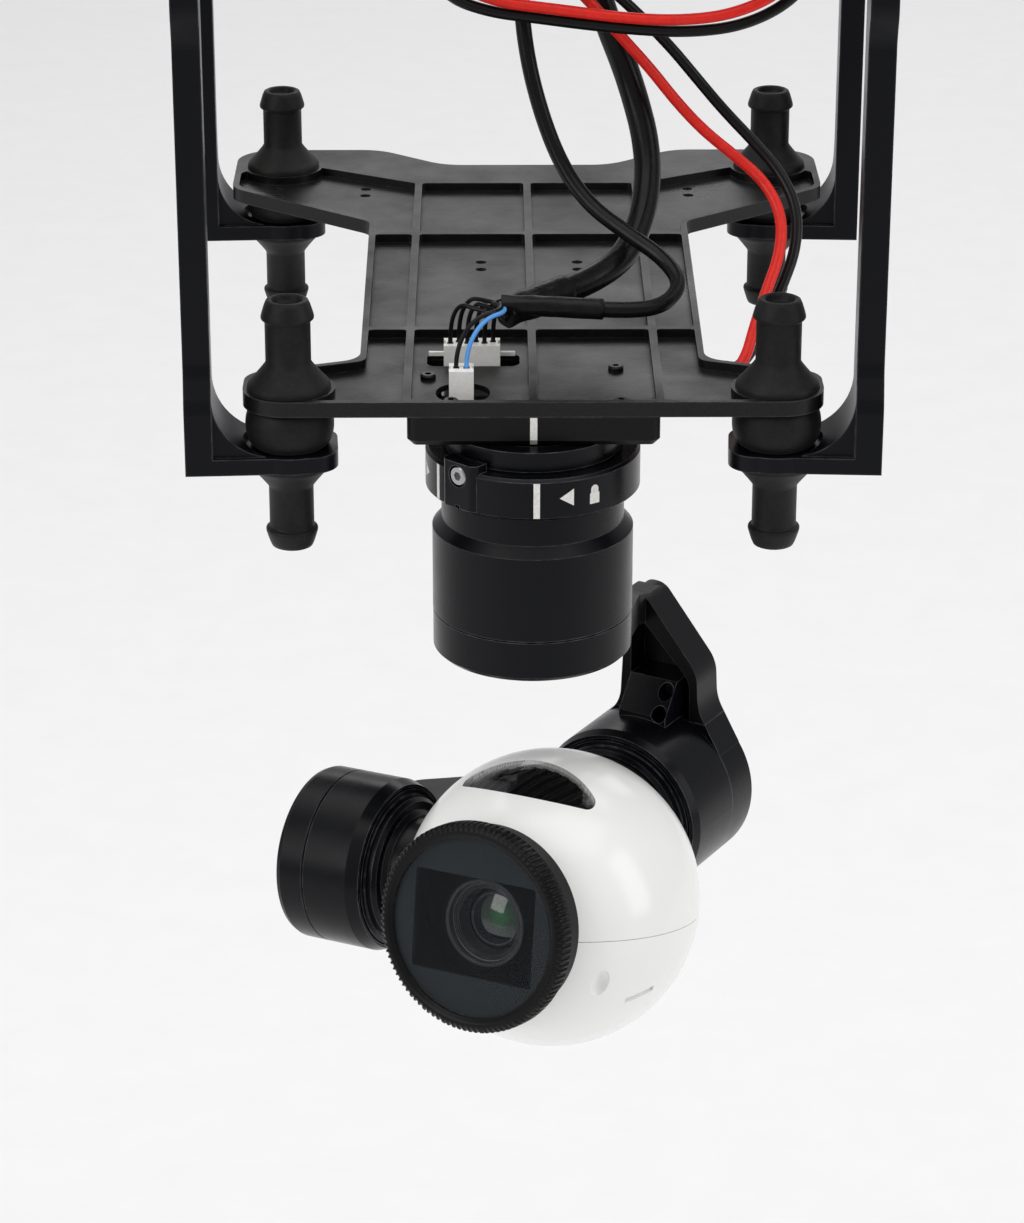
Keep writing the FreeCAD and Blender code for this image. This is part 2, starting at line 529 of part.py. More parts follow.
# ---------------------------------------------------------------- motors
def motor(radius, depth, rotor_radius, rotor_thick, rotor_floor, lip=0.0):
    """Outrunner motor along +Z: closed cup at 0, rotor beyond the open end of the cup."""
    bore = radius - MOTOR_WALL
    sleeve_out = bore - CLEAR
    sleeve_in = sleeve_out - SLEEVE_THICK
    magnet_in = sleeve_in - MAGNET_THICK
    tube_end = depth - 1.0
    cup = turned([(0, 0), (radius, 0), (radius, depth - 3 * lip), (radius - lip, depth),
                  (bore, depth), (bore, MOTOR_BACK), (TUBE_R, MOTOR_BACK), (TUBE_R, tube_end),
                  (BEARING_R, tube_end), (BEARING_R, MOTOR_BACK), (0, MOTOR_BACK)])
    stator_end = depth - 2.0
    stator = ring(magnet_in - STATOR_GAP, TUBE_R, MOTOR_BACK + 1.5, stator_end)
    for i in range(STATOR_TEETH):
        slot = box(TUBE_R + 1.6, magnet_in - STATOR_GAP - 0.9, -0.8, 0.8,
                   MOTOR_BACK, stator_end + 1)
        mouth = box(TUBE_R + 1.6, magnet_in, -0.35, 0.35, MOTOR_BACK, stator_end + 1)
        stator = stator.cut(turn(slot.fuse(mouth), (0, 0, 0), Z_AXIS, i * 360 / STATOR_TEETH))
    bearings = [ring(BEARING_R, SHAFT_R + SLIP, MOTOR_BACK + 0.3, MOTOR_BACK + 0.3 + BEARING_H),
                ring(BEARING_R, SHAFT_R + SLIP, tube_end - BEARING_H, tube_end)]
    start, end = depth + CLEAR, depth + CLEAR + rotor_thick
    hub_top = tube_end + CLEAR
    rotor = turned([(SHAFT_R, end), (rotor_radius - 0.8, end), (rotor_radius, end - 0.8),
                    (rotor_radius, start), (sleeve_out, start), (sleeve_out, MOTOR_BACK + 1.2),
                    (sleeve_in, MOTOR_BACK + 1.2), (sleeve_in, end - rotor_floor),
                    (BEARING_R - 0.5, end - rotor_floor), (BEARING_R - 0.5, hub_top),
                    (SHAFT_R, hub_top)])
    magnets = ring(sleeve_in, magnet_in, MOTOR_BACK + 1.4, depth - 1.4)
    shaft = rod(SHAFT_R, (0, 0, MOTOR_BACK + 0.3), (0, 0, end))
    return {"cup": cup, "stator": stator, "bearings": group(bearings), "rotor": rotor,
            "magnets": magnets, "shaft": shaft}


def to_rest(shape, moves):
    """Turn a straight-ahead shape to the rest pose: pitch, then roll, then yaw as asked."""
    if moves >= 3:
        shape = turn(shape, (BALL_X, BALL_Y, AXIS_Z), X_AXIS, -REST_PITCH)
    if moves >= 2:
        shape = turn(shape, (0, 0, AXIS_Z), Y_AXIS, REST_ROLL)
    if moves >= 1:
        shape = turn(shape, (0, 0, 0), Z_AXIS, REST_YAW)
    return shape.translated(Vec(0, YAW_Y, 0))


def build_yaw_motor():
    """Fixed housing that hangs in the collar, and the rotor cap that carries the yaw arm."""
    top = YAW_SEAM + YAW_DEPTH
    parts = motor(YAW_R, YAW_DEPTH, YAW_R - 0.05, YAW_CAP_H, 2.6)
    parts = {key: upright_to(shape, (0, 0, top), (0, 0, -1)) for key, shape in parts.items()}
    plug = SOCKET_R - CLEAR
    shoulder = NECK_BOTTOM - 2.1
    neck = turned([(0, top), (YAW_R, top), (YAW_R, shoulder), (NECK_R, NECK_BOTTOM),
                   (NECK_R, NECK_TOP), (plug, NECK_TOP), (plug, BLOCK_BOTTOM - 1.2),
                   (plug - 2, BLOCK_BOTTOM - 1.2), (plug - 2, NECK_BOTTOM + 3),
                   (0, NECK_BOTTOM + 3)])
    NODES["yaw_motor_housing"] = to_rest(fused([parts["cup"], neck]), 0)
    NODES["yaw_stator"] = to_rest(parts["stator"], 0)
    NODES["yaw_bearings"] = to_rest(parts["bearings"], 0)
    NODES["yaw_rotor_cap"] = to_rest(parts["rotor"], 1)
    NODES["yaw_magnet_ring"] = to_rest(parts["magnets"], 1)
    NODES["yaw_shaft"] = to_rest(parts["shaft"], 1)


def build_yaw_arm():
    """Beam under the yaw rotor, the upright channel behind it and the roll motor at its foot."""
    front, back, top = ROLL_BACK_Y, ARM_BACK_Y, ARM_TOP_Z
    outline = [(-8, top, 3), (-2.8, top, 4), (10, top - 15.5, 8), (10.4, top - 24, 10),
               (16.6, AXIS_Z + 10, 2), (0, AXIS_Z - 5, 0), (-16.6, AXIS_Z + 10, 2),
               (-8.6, top - 26, 8), (-8, top - 14, 0)]
    upright = along_y(outline, front, back)
    upright = upright.fuse(rod(ROLL_R, (0, front, AXIS_Z), (0, back, AXIS_Z))).removeSplitter()
    wall = 2.0
    pocket = [(-8 + wall, top - 5.5, 1), (-3.6, top - 5.5, 2), (8.1, top - 17.5, 5),
              (8.4, ARM_SPLIT_Z - 1, 0), (-8 + wall, ARM_SPLIT_Z - 1, 0)]
    floor = back - 2.9
    pocket = along_y(pocket, front - 1, floor)
    half = box(-40, 40, front - 1, back + 1, ARM_SPLIT_Z, 0)
    upper = upright.common(half).cut(pocket)
    lower = upright.cut(half).cut(rod(ROLL_R - 2.4, (0, front - 1, AXIS_Z), (0, floor, AXIS_Z)))

    side = [(-11, YAW_BOTTOM, 0), (21, YAW_BOTTOM, 30), (front + 2, top, 10), (back, top, 3),
            (back, top - 6, 0), (front - 1, top - 6, 4), (21, YAW_BOTTOM - BEAM_THICK, 30),
            (-11, YAW_BOTTOM - BEAM_FRONT, 2)]
    beam = along_x(side, -20, 20)
    plan = [(-8, -11, 5), (8, -11, 5), (8, 26, 14), (-2.6, front - 3, 5), (-2.8, back, 0),
            (-8, back, 0)]
    beam = beam.common(slab(plan, top - 20, YAW_BOTTOM + 1))
    beam = beam.cut(along_x([(-7, YAW_BOTTOM - 2.2, 0), (20, YAW_BOTTOM - 2.2, 20),
                             (front - 6, top - 2.4, 4), (front - 6, top - 12, 0),
                             (-7, top - 12, 0)], -5.8, 5.0).common(
        slab([(-5.8, -8, 3), (5.8, -8, 3), (5.8, 25, 10), (-3.4, front - 6, 2),
              (-5.8, front - 6, 2)], top - 20, YAW_BOTTOM)))
    NODES["yaw_arm_frame"] = to_rest(fused([upper, beam]), 1)
    NODES["roll_motor_cap"] = to_rest(lower, 1)

    parts = motor(ROLL_R, ROLL_DEPTH, 16.2, 2.5, 2.5, 0.7)
    place = lambda shape: upright_to(shape, (0, front, AXIS_Z), (0, -1, 0))
    tongue = box(-5, 6.2, front - 7, floor, AXIS_Z + 18.1, ARM_SPLIT_Z + 9.5)
    tongue = tongue.cut(along_x([(front - 8, ARM_SPLIT_Z + 10.5, 0), (front - 8, AXIS_Z + 19, 0),
                                 (front - 1, ARM_SPLIT_Z + 10.5, 0)], -6, 8))
    screws = []
    for x, z in ((4.4, ARM_SPLIT_Z + 7.4), (4.4, ARM_SPLIT_Z + 3.2)):
        screws.append(socket_screw((x, front - 0.2, z), (0, -1, 0), 4.6, 0.8))
        tongue = tongue.cut(rod(0.8, (x, front - 0.2, z), (x, front + 4.4, z)))
        tongue = tongue.cut(rod(1.7, (x, front - 9, z), (x, front - 0.2, z)))
    NODES["roll_motor_housing"] = to_rest(fused([place(parts["cup"]), tongue]), 1)
    NODES["arm_screws"] = to_rest(group(screws), 1)
    NODES["roll_stator"] = to_rest(place(parts["stator"]), 1)
    NODES["roll_bearings"] = to_rest(place(parts["bearings"]), 1)
    NODES["roll_rotor"] = to_rest(place(parts["rotor"]), 2)
    NODES["roll_magnet_ring"] = to_rest(place(parts["magnets"]), 2)
    NODES["roll_shaft"] = to_rest(place(parts["shaft"]), 2)


def along_y(points, y0, y1):
    """Prism along Y of an outline in X and Z."""
    prism = slab(points, 0, y1 - y0)
    return turn(prism, (0, 0, 0), X_AXIS, 90).translated(Vec(0, y1, 0))


def along_x(points, x0, x1):
    """Prism along X of an outline in Y and Z."""
    prism = slab(points, 0, x1 - x0)
    prism.rotate(Vec(0, 0, 0), Vec(1, 1, 1), 120)
    return prism.translated(Vec(x0, 0, 0))


# ---------------------------------------------------------------- roll arm and pitch motor
def build_roll_arm():
    """Bent arm from the roll rotor round the camera to the pitch motor."""
    face = ROLL_BACK_Y - ROLL_DEPTH - CLEAR - 2.5
    inner = face - 4.9
    open_x = BALL_X - PITCH_BACK + PITCH_DEPTH
    closed_x = BALL_X - PITCH_BACK
    plan = [(13, face, 2), (-20, face, 9), (closed_x + 0.5, 19, 7), (closed_x + 0.5, 0, 0),
            (open_x - 0.4, 0, 0), (open_x - 0.4, 16.5, 5), (-14, inner, 9), (13, inner, 2)]
    arm = slab(plan, AXIS_Z - 8, AXIS_Z + 8)
    arm = arm.fuse(rod(14.8, (0, face - 2.2, AXIS_Z), (0, face, AXIS_Z)))
    arm = arm.cut(rod(PITCH_R, (closed_x - 20, BALL_Y, AXIS_Z), (open_x + 2, BALL_Y, AXIS_Z)))
    arm = arm.cut(box(closed_x - 1, open_x + 2, -30, BALL_Y, AXIS_Z - 20, AXIS_Z + 20))
    arm = arm.removeSplitter()
    NODES["roll_arm"] = to_rest(arm, 2)

    parts = motor(PITCH_R, PITCH_DEPTH, 15.0, 2.2, 2.2, 0.9)
    place = lambda shape: upright_to(shape, (closed_x, BALL_Y, AXIS_Z), (1, 0, 0))
    cap = turned([(0, -PITCH_CAP_H), (PITCH_R - 1.6, -PITCH_CAP_H),
                  (PITCH_R - 0.4, -PITCH_CAP_H + 0.6), (PITCH_R, -PITCH_CAP_H + 1.6),
                  (PITCH_R, -0.5), (PITCH_R - 0.5, 0), (PITCH_R - MOTOR_WALL, 0),
                  (PITCH_R - MOTOR_WALL, 1.8 - PITCH_CAP_H), (0, 1.8 - PITCH_CAP_H)])
    NODES["pitch_motor_housing"] = to_rest(place(parts["cup"]), 2)
    NODES["pitch_motor_cap"] = to_rest(place(cap), 2)
    NODES["pitch_stator"] = to_rest(place(parts["stator"]), 2)
    NODES["pitch_bearings"] = to_rest(place(parts["bearings"]), 2)
    start = PITCH_DEPTH + CLEAR + 2.2
    neck = turned([(0, start), (12.5, start), (11.5, start + 1.0), (11.5, PITCH_BACK - HUB_FLAT),
                   (0, PITCH_BACK - HUB_FLAT)])
    NODES["pitch_rotor"] = to_rest(place(parts["rotor"].fuse(neck).removeSplitter()), 3)
    NODES["pitch_magnet_ring"] = to_rest(place(parts["magnets"]), 3)
    NODES["pitch_shaft"] = to_rest(place(parts["shaft"]), 3)


# ---------------------------------------------------------------- camera
def forward(profile):
    """Solid turned about the lens axis from (radius, distance ahead of the ball centre)."""
    return turn(turned(profile), (0, 0, 0), X_AXIS, 90)


def ball(radius):
    return Part.makeSphere(radius)


def vent_prism(inset):
    """Upright prism of the crescent vent in the top of the ball."""
    tip_x, tip_y, front_y, rear_y = 17.0 - 1.4 * inset, -11.6, -17.8 + inset, -6.8 - inset
    left, right = Vec(-tip_x, tip_y, 0), Vec(tip_x, tip_y, 0)
    edges = [Part.Arc(left, Vec(0, front_y, 0), right).toShape(),
             Part.Arc(right, Vec(0, rear_y, 0), left).toShape()]
    prism = Part.Face(Part.Wire(edges)).extrude(Vec(0, 0, BALL_R + 2))
    tips = [edge for edge in prism.Edges if edge.BoundBox.ZLength > BALL_R]
    return prism.makeFillet(VENT_TIP_R - inset, tips)


def build_camera():
    """White ball in two halves, with the vent, the lens group and the board inside."""
    hollow = BALL_R - SHELL
    whole = ball(BALL_R).cut(box(-40, -HUB_FLAT, -40, 40, -40, 40))
    inner = ball(hollow).cut(box(-40, -HUB_FLAT + SHELL, -40, 40, -40, 40))
    whole = whole.cut(inner)
    opening = BEZEL_R - 0.4
    mouth = rod(opening, (0, -8, 0), (0, -40, 0))
    whole = whole.cut(mouth)
    above = box(-40, 40, -40, 40, SHELL_SPLIT + 0.06, 40)
    below = box(-40, 40, -40, 40, -40, SHELL_SPLIT - 0.06)
    upper = whole.common(above).cut(vent_prism(0))
    lower = whole.common(below)
    lip = inner.cut(ball(hollow - 1.0)).common(box(-40, 40, -40, 40, SHELL_SPLIT - 2,
                                                   SHELL_SPLIT + 1.6))
    lip = lip.cut(mouth).cut(box(-40, -HUB_FLAT + SHELL + 0.01, -40, 40, -40, 40))
    lip = lip.cut(box(-40, -20, -40, 40, -40, 40))
    dimple = Vec(22.2, -18.2, -10.4).normalize() * (BALL_R + 0.6)
    press = Part.makeSphere(2.0).transformGeometry(FreeCAD.Matrix(1, 0, 0, 0, 0, 1, 0, 0,
                                                                  0, 0, 1.7, 0, 0, 0, 0, 1))
    lower = lower.cut(turn(press, (0, 0, 0), Y_AXIS, 12).translated(dimple))
    slot_at = Vec(25.9, -7.9, -14.1).normalize() * BALL_R
    slot = upright_to(box(-3.6, 3.6, -0.7, 0.7, -0.8, 3), (0, 0, 0), tuple(slot_at))
    lower = lower.cut(turn(slot.translated(slot_at), tuple(slot_at), slot_at, 90))
    NODES["camera_upper_shell"] = upper
    NODES["camera_lower_shell"] = fused([lower, lip])

    window = vent_prism(0).common(ball(BALL_R - 0.15)).cut(ball(BALL_R - 1.0))
    NODES["vent_window"] = window.common(box(-40, 40, -40, 0, 5, 40))
    fins = vent_prism(0.25).common(ball(BALL_R - 1.3)).cut(box(-40, 40, -40, 40, -1, 20.0))
    gaps = [box(x, x + 1.5, -24, 0, 21.4, 40) for x in [-21 + 2.55 * i for i in range(17)]]
    for gap in gaps:
        fins = fins.cut(turn(gap, (0, -12, 0), Z_AXIS, -24))
    NODES["heat_sink"] = fins

    ring_back = LENS_FRONT - FILTER_H
    NODES["lens_bezel"] = forward([(BEZEL_R - 0.4, 16.6), (BEZEL_R - 0.4, ring_back),
                                   (BEZEL_R - 2.0, ring_back), (BEZEL_R - 2.0, 18.4),
                                   (BARREL_R, 18.4), (BARREL_R, 16.6)])
    NODES["filter_ring"] = forward([(GLASS_R, ring_back), (FILTER_R - 0.5, ring_back),
                                    (FILTER_R, ring_back + 0.5), (FILTER_R, LENS_FRONT - 0.7),
                                    (FILTER_R - 0.7, LENS_FRONT), (GLASS_R + 0.6, LENS_FRONT),
                                    (GLASS_R, LENS_FRONT - 0.6)])
    glass_front = LENS_FRONT - 0.6
    glass_back = glass_front - GLASS_THICK
    NODES["filter_glass"] = forward([(0, glass_back), (GLASS_R, glass_back),
                                     (GLASS_R, glass_front), (0, glass_front)])
    mask = forward([(0, glass_back - 0.8), (GLASS_R, glass_back - 0.8), (GLASS_R, glass_back),
                    (0, glass_back)])
    NODES["lens_mask"] = mask.cut(along_y([(-MASK_W / 2, -MASK_H / 2, 0.8),
                                           (MASK_W / 2, -MASK_H / 2, 0.8),
                                           (MASK_W / 2, MASK_H / 2, 0.8),
                                           (-MASK_W / 2, MASK_H / 2, 0.8)], -40, 0))
    NODES["lens_barrel"] = forward([(BARREL_R, 9.0), (BARREL_R, 27.0), (BARREL_R - 0.9, 27.0),
                                    (BARREL_R - 1.2, 25.6), (7.2, 25.2), (6.4, 23.2),
                                    (6.4, 14.0), (5.0, 14.0), (5.0, 9.0)])
    front = Part.makeSphere(15.0, Vec(0, -8.4, 0)).common(rod(6.4, (0, -19.6, 0), (0, -30, 0)))
    rear = rod(5.0, (0, -9.6, 0), (0, -12.4, 0))
    NODES["lens_elements"] = group([front, rear])
    board = along_y([(-13, -13, 2), (13, -13, 2), (13, 13, 2), (-13, 13, 2)], -7.4, -5.8)
    chip = along_y([(-4, -3, 0), (4, -3, 0), (4, 3, 0), (-4, 3, 0)], -9.0, -7.4)
    NODES["camera_board"] = fused([board, chip])
    for name in CAMERA_NODES:
        NODES[name] = to_rest(NODES[name].translated(Vec(BALL_X, BALL_Y, AXIS_Z)), 3)


CAMERA_NODES = ("camera_upper_shell", "camera_lower_shell", "vent_window", "heat_sink",
                "lens_bezel", "filter_ring", "filter_glass", "lens_mask", "lens_barrel",
                "lens_elements", "camera_board")


# ---------------------------------------------------------------- cables
CABLE_RADII = {"signal_cable": SIGNAL_R, "control_cable": CONTROL_R,
               "power_cable_red": POWER_R, "power_cable_black": POWER_R}
SIGNAL_WIRE_X, SIGNAL_WIRE_STEP = -15.3, 2.2
CABLE_END = -FOOT_THICK - BRIDGE_THICK - JUNCTION_SIZE[2] + 4.0
CABLE_ROUTES = {
    "signal_cable": [(7.0, -51.5, -88.2), (16.4, -44.2, -87.0), (22.6, -34.0, -80.0),
                     (24.2, -23.6, -68.6), (20.4, -16.6, -55.0), (14.8, -14.6, -41.4),
                     (11.0, -15.6, -28.0), (11.0, -16.0, CABLE_END)],
    "control_cable": [(14.0, -62.0, -88.8), (21.0, -62.0, -89.2), (27.0, -59.0, -88.4),
                      (29.6, -53.5, -86.0), (26.0, -48.0, -82.6), (19.0, -43.5, -79.0),
                      (11.5, -38.0, -74.8), (6.0, -33.0, -68.0), (2.0, -29.0, -58.5),
                      (-0.9, -26.0, -47.5), (-2.2, -21.5, -36.0), (-1.6, -18.5, -24.0),
                      (-1.4, -18.0, CABLE_END)],
    "power_cable_red": [(32.0, -57.5, -106.2), (38.0, -57.5, -106.2), (42.6, -53.8, -102.4),
                        (44.6, -49.0, -96.8), (47.2, -44.4, -90.8), (50.2, -39.2, -84.4),
                        (50.6, -34.0, -78.2), (47.4, -29.6, -72.6), (41.6, -26.4, -68.2),
                        (35.0, -24.2, -63.4), (29.2, -22.8, -57.4), (24.2, -22.6, -51.0),
                        (18.4, -23.2, -44.4), (12.2, -24.4, -37.2), (6.0, -26.0, -30.4),
                        (-0.8, -27.6, -24.8), (-8.6, -29.0, -22.4), (-15.6, -30.6, -25.2),
                        (-13.8, -32.8, -31.8), (-6.0, -33.4, -34.6), (2.0, -33.2, -35.6),
                        (10.0, -32.8, -36.8), (19.0, -32.4, -38.0), (29.0, -32.0, -38.6),
                        (39.0, -31.2, -37.8), (48.0, -29.6, -34.6), (53.2, -27.2, -29.8),
                        (55.5, -23.4, -24.6), (55.6, -21.1, -19.0),
                        (55.6, -21.1, CABLE_END)],
    "power_cable_black": [(32.0, -53.5, -106.2), (37.0, -53.5, -106.2), (43.0, -50.8, -103.8),
                          (46.6, -45.8, -98.0), (50.6, -41.0, -91.0), (53.6, -36.4, -84.2),
                          (53.8, -31.4, -77.2), (50.4, -26.8, -71.0), (45.0, -23.4, -65.6),
                          (39.0, -21.0, -59.8), (33.4, -19.4, -53.4), (28.4, -19.2, -47.4),
                          (22.6, -20.2, -41.2), (16.4, -22.0, -35.0), (9.4, -24.2, -28.8),
                          (1.4, -26.2, -23.6), (-7.2, -28.0, -20.4), (-16.0, -29.4, -20.8),
                          (-20.8, -30.8, -27.0), (-16.8, -31.8, -33.8), (-8.6, -32.6, -36.6),
                          (0.4, -32.6, -37.8), (10.0, -32.2, -39.2), (20.0, -31.8, -40.4),
                          (31.0, -31.2, -41.2), (42.0, -30.2, -40.2), (51.4, -27.8, -36.2),
                          (57.0, -23.6, -30.4), (57.6, -18.4, -24.6), (55.6, -14.3, -19.8),
                          (55.6, -14.2, CABLE_END)],
}
SLEEVE_LENGTHS = {"signal_cable": 12.6, "control_cable": 14.0}


def route_path(points):
    """Straight runs joined by tangent arcs, each as large as its two runs allow."""
    points = [Vec(*point) for point in points]
    edges, radii, start = [], [], points[0]
    for before, here, after in zip(points, points[1:], points[2:]):
        back, ahead = before - here, after - here
        half_turn = (math.pi - back.getAngle(ahead)) / 2
        reach = 0.45 * min(back.Length, ahead.Length)
        radius = reach / math.tan(half_turn)
        back.normalize()
        ahead.normalize()
        into, out = here + back * reach, here + ahead * reach
        bisector = (back + ahead).normalize()
        centre = here + bisector * math.hypot(reach, radius)
        edges.append(Part.LineSegment(start, into).toShape())
        edges.append(Part.Arc(into, centre - bisector * radius, out).toShape())
        radii.append(radius)
        start = out
    edges.append(Part.LineSegment(start, points[-1]).toShape())
    return Part.Wire(edges), radii


def tube(points, radius):
    """Round cable along a route, and the radii of its bends."""
    path, radii = route_path(points)
    first = Vec(*points[1]) - Vec(*points[0])
    section = Part.Wire([Part.Circle(Vec(*points[0]), first, radius).toShape()])
    solid = path.makePipeShell([section], True, False)
    return solid, radii, path.Length


def build_cables():
    """Sleeved cables from the connectors to the housing under the bridge."""
    for name, points in CABLE_ROUTES.items():
        solid, radii, length = tube(points, CABLE_RADII[name])
        share = solid.Volume / (math.pi * CABLE_RADII[name] ** 2 * length)
        print(name, "length", round(length, 1), "volume share", round(share, 4),
              "least radii", sorted(round(radius, 1) for radius in radii)[:6])
        NODES[name] = solid
    starts, sleeves = {}, []
    for cable, reach in SLEEVE_LENGTHS.items():
        first, second = Vec(*CABLE_ROUTES[cable][0]), Vec(*CABLE_ROUTES[cable][1])
        starts[cable] = first - (second - first).normalize() * reach
        sleeves.append(rod(CABLE_RADII[cable] + 0.5, starts[cable], first))
    NODES["cable_sleeves"] = group(sleeves)
    begin, board_top, wires = starts["signal_cable"], PLATE_TOP + SIGNAL_STAND, []
    for i in range(4):
        x = SIGNAL_WIRE_X + SIGNAL_WIRE_STEP * i
        y = YAW_Y + SIGNAL_HEADER[1] - 0.5 + 0.9 * (i % 2)
        end = begin + Vec(-0.02 - 0.3 * i, 1.5 - i, 1.4 * (i % 2) - 0.7)
        wires.append(tube([(x, y, board_top), (x, y, board_top + 5.2),
                           (x + 2.0, y - 0.2, board_top + 8.9),
                           (x + 5.0 - i * 1.2, (y + end.y) / 2, end.z), end], WIRE_R)[0])
    NODES["signal_wires"] = group([wire.cut(group(sleeves)) for wire in wires])
    begin, top, wires = starts["control_cable"], PLATE_TOP + CONTROL_STAND, []
    for i in range(2):
        x, y = CONTROL_HEADER[0] - 1.0 + 2.0 * i, YAW_Y + CONTROL_HEADER[1]
        end = begin + Vec(-0.02, 1.4 * i - 0.7, 0.3 - 0.6 * i)
        wires.append(tube([(x, y, top), (x, y, top + 3.9),
                           (x + 3.4, y + 2.6, end.z - 0.6 + 0.4 * i),
                           (-5.4 + i, (y + end.y) / 2 + 1.6, end.z), end], WIRE_R)[0])
    NODES["control_wires"] = group([wire.cut(group(sleeves)) for wire in wires])


# ---------------------------------------------------------------- write the nodes
def main():
    os.makedirs("parts", exist_ok=True)
    build_hanger()
    build_plate()
    build_mount()
    build_yaw_motor()
    build_yaw_arm()
    build_roll_arm()
    build_camera()
    build_cables()
    whole = FreeCAD.BoundBox()
    for name, shape in sorted(NODES.items()):
        if not shape.isValid() or not shape.Solids:
            raise ValueError(f"{name} isn't a valid solid")
        if len(shape.Solids) == 1:
            shape = shape.Solids[0]
        shape.exportStep(f"parts/{name}.step")
        whole.add(shape.BoundBox)
    print(len(NODES), "nodes; box", [round(v, 1) for v in (whole.XMin, whole.XMax, whole.YMin,
                                                          whole.YMax, whole.ZMin, whole.ZMax)])


main()
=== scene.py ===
"""Finished look of a three-axis ball camera gimbal on its rubber-damped hanger plate.

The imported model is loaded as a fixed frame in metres. Its solid pieces get worked finishes, the
rubber dampers, knurled ring, lens group, cables and wires are built here in finer detail, and a
pale studio with one camera stands round them.
"""

import json
import logging
import math
from dataclasses import dataclass, field
from enum import Enum
from typing import Callable, Iterable, Sequence

import bmesh
import bpy
from mathutils import Matrix, Vector

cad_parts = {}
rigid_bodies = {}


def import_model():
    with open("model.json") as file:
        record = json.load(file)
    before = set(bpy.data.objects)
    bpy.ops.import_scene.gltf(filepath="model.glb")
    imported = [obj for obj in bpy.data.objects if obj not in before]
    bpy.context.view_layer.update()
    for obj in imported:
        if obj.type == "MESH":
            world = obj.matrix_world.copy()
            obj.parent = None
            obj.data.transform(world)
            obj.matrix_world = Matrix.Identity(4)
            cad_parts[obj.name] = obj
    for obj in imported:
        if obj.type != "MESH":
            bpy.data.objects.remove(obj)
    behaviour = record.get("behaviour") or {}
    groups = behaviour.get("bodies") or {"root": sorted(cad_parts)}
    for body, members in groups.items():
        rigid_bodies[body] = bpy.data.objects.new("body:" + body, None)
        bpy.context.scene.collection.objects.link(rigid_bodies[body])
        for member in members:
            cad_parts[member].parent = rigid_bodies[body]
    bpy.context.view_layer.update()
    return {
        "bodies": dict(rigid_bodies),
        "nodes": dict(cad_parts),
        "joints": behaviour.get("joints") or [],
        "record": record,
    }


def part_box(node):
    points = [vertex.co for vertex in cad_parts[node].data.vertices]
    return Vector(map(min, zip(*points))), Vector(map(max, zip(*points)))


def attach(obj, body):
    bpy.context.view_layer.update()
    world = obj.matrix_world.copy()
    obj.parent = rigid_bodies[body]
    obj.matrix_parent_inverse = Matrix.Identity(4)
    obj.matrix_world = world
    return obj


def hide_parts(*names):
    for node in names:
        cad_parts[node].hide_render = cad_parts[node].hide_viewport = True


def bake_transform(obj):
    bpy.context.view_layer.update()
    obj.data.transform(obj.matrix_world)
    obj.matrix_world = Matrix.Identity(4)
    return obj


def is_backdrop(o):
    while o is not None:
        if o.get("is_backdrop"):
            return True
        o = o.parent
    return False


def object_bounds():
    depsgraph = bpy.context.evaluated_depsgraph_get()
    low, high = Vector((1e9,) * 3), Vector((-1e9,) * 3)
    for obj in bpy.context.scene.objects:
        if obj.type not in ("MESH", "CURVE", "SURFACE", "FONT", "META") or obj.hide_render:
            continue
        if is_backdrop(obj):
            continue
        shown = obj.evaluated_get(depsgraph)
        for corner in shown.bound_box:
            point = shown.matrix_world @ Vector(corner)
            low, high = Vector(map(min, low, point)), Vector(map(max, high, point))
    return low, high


LOG = logging.getLogger("gimbal")
MM = 0.001
Colour = tuple[float, float, float]
Point = tuple[float, float, float]


class Body(str, Enum):
    """Moving bodies that carry the pieces built here."""

    HANGER = "hanger"
    PLATE = "plate"
    LOCK_RING = "lock_ring"
    CAMERA = "camera"


# ---------------------------------------------------------------- shader graphs
class Graph:
    """Places and joins the nodes of one shader tree."""

    def __init__(self, tree: bpy.types.NodeTree) -> None:
        """Keeps the tree.

        Args:
            tree: the material or group tree to fill.
        """
        self.tree = tree

    def add(self, kind: str, **settings: object) -> bpy.types.Node:
        """Adds a node.

        Args:
            kind: node type, without the ShaderNode prefix.
            settings: node properties, or input values under their names with _ for a space.

        Returns:
            The new node.
        """
        name = kind if kind.startswith("Node") else "ShaderNode" + kind
        node = self.tree.nodes.new(name)
        for key, value in settings.items():
            if hasattr(node, key):
                setattr(node, key, value)
            else:
                node.inputs[key.replace("_", " ")].default_value = value
        return node

    def join(self, source: bpy.types.Node, output: str, target: bpy.types.Node,
             entry: str | int) -> None:
        """Links an output of one node to an input of another.

        Args:
            source: node that gives the value.
            output: name of its output.
            target: node that takes it.
            entry: name or number of its input.
        """
        self.tree.links.new(source.outputs[output], target.inputs[entry])

    def place(self, group: bpy.types.NodeTree, **values: object) -> bpy.types.Node:
        """Places a node group.

        Args:
            group: the group's tree.
            values: input values under their names with _ for a space.

        Returns:
            The group node.
        """
        node = self.tree.nodes.new("ShaderNodeGroup")
        node.node_tree = group
        for key, value in values.items():
            node.inputs[key.replace("_", " ")].default_value = value
        return node


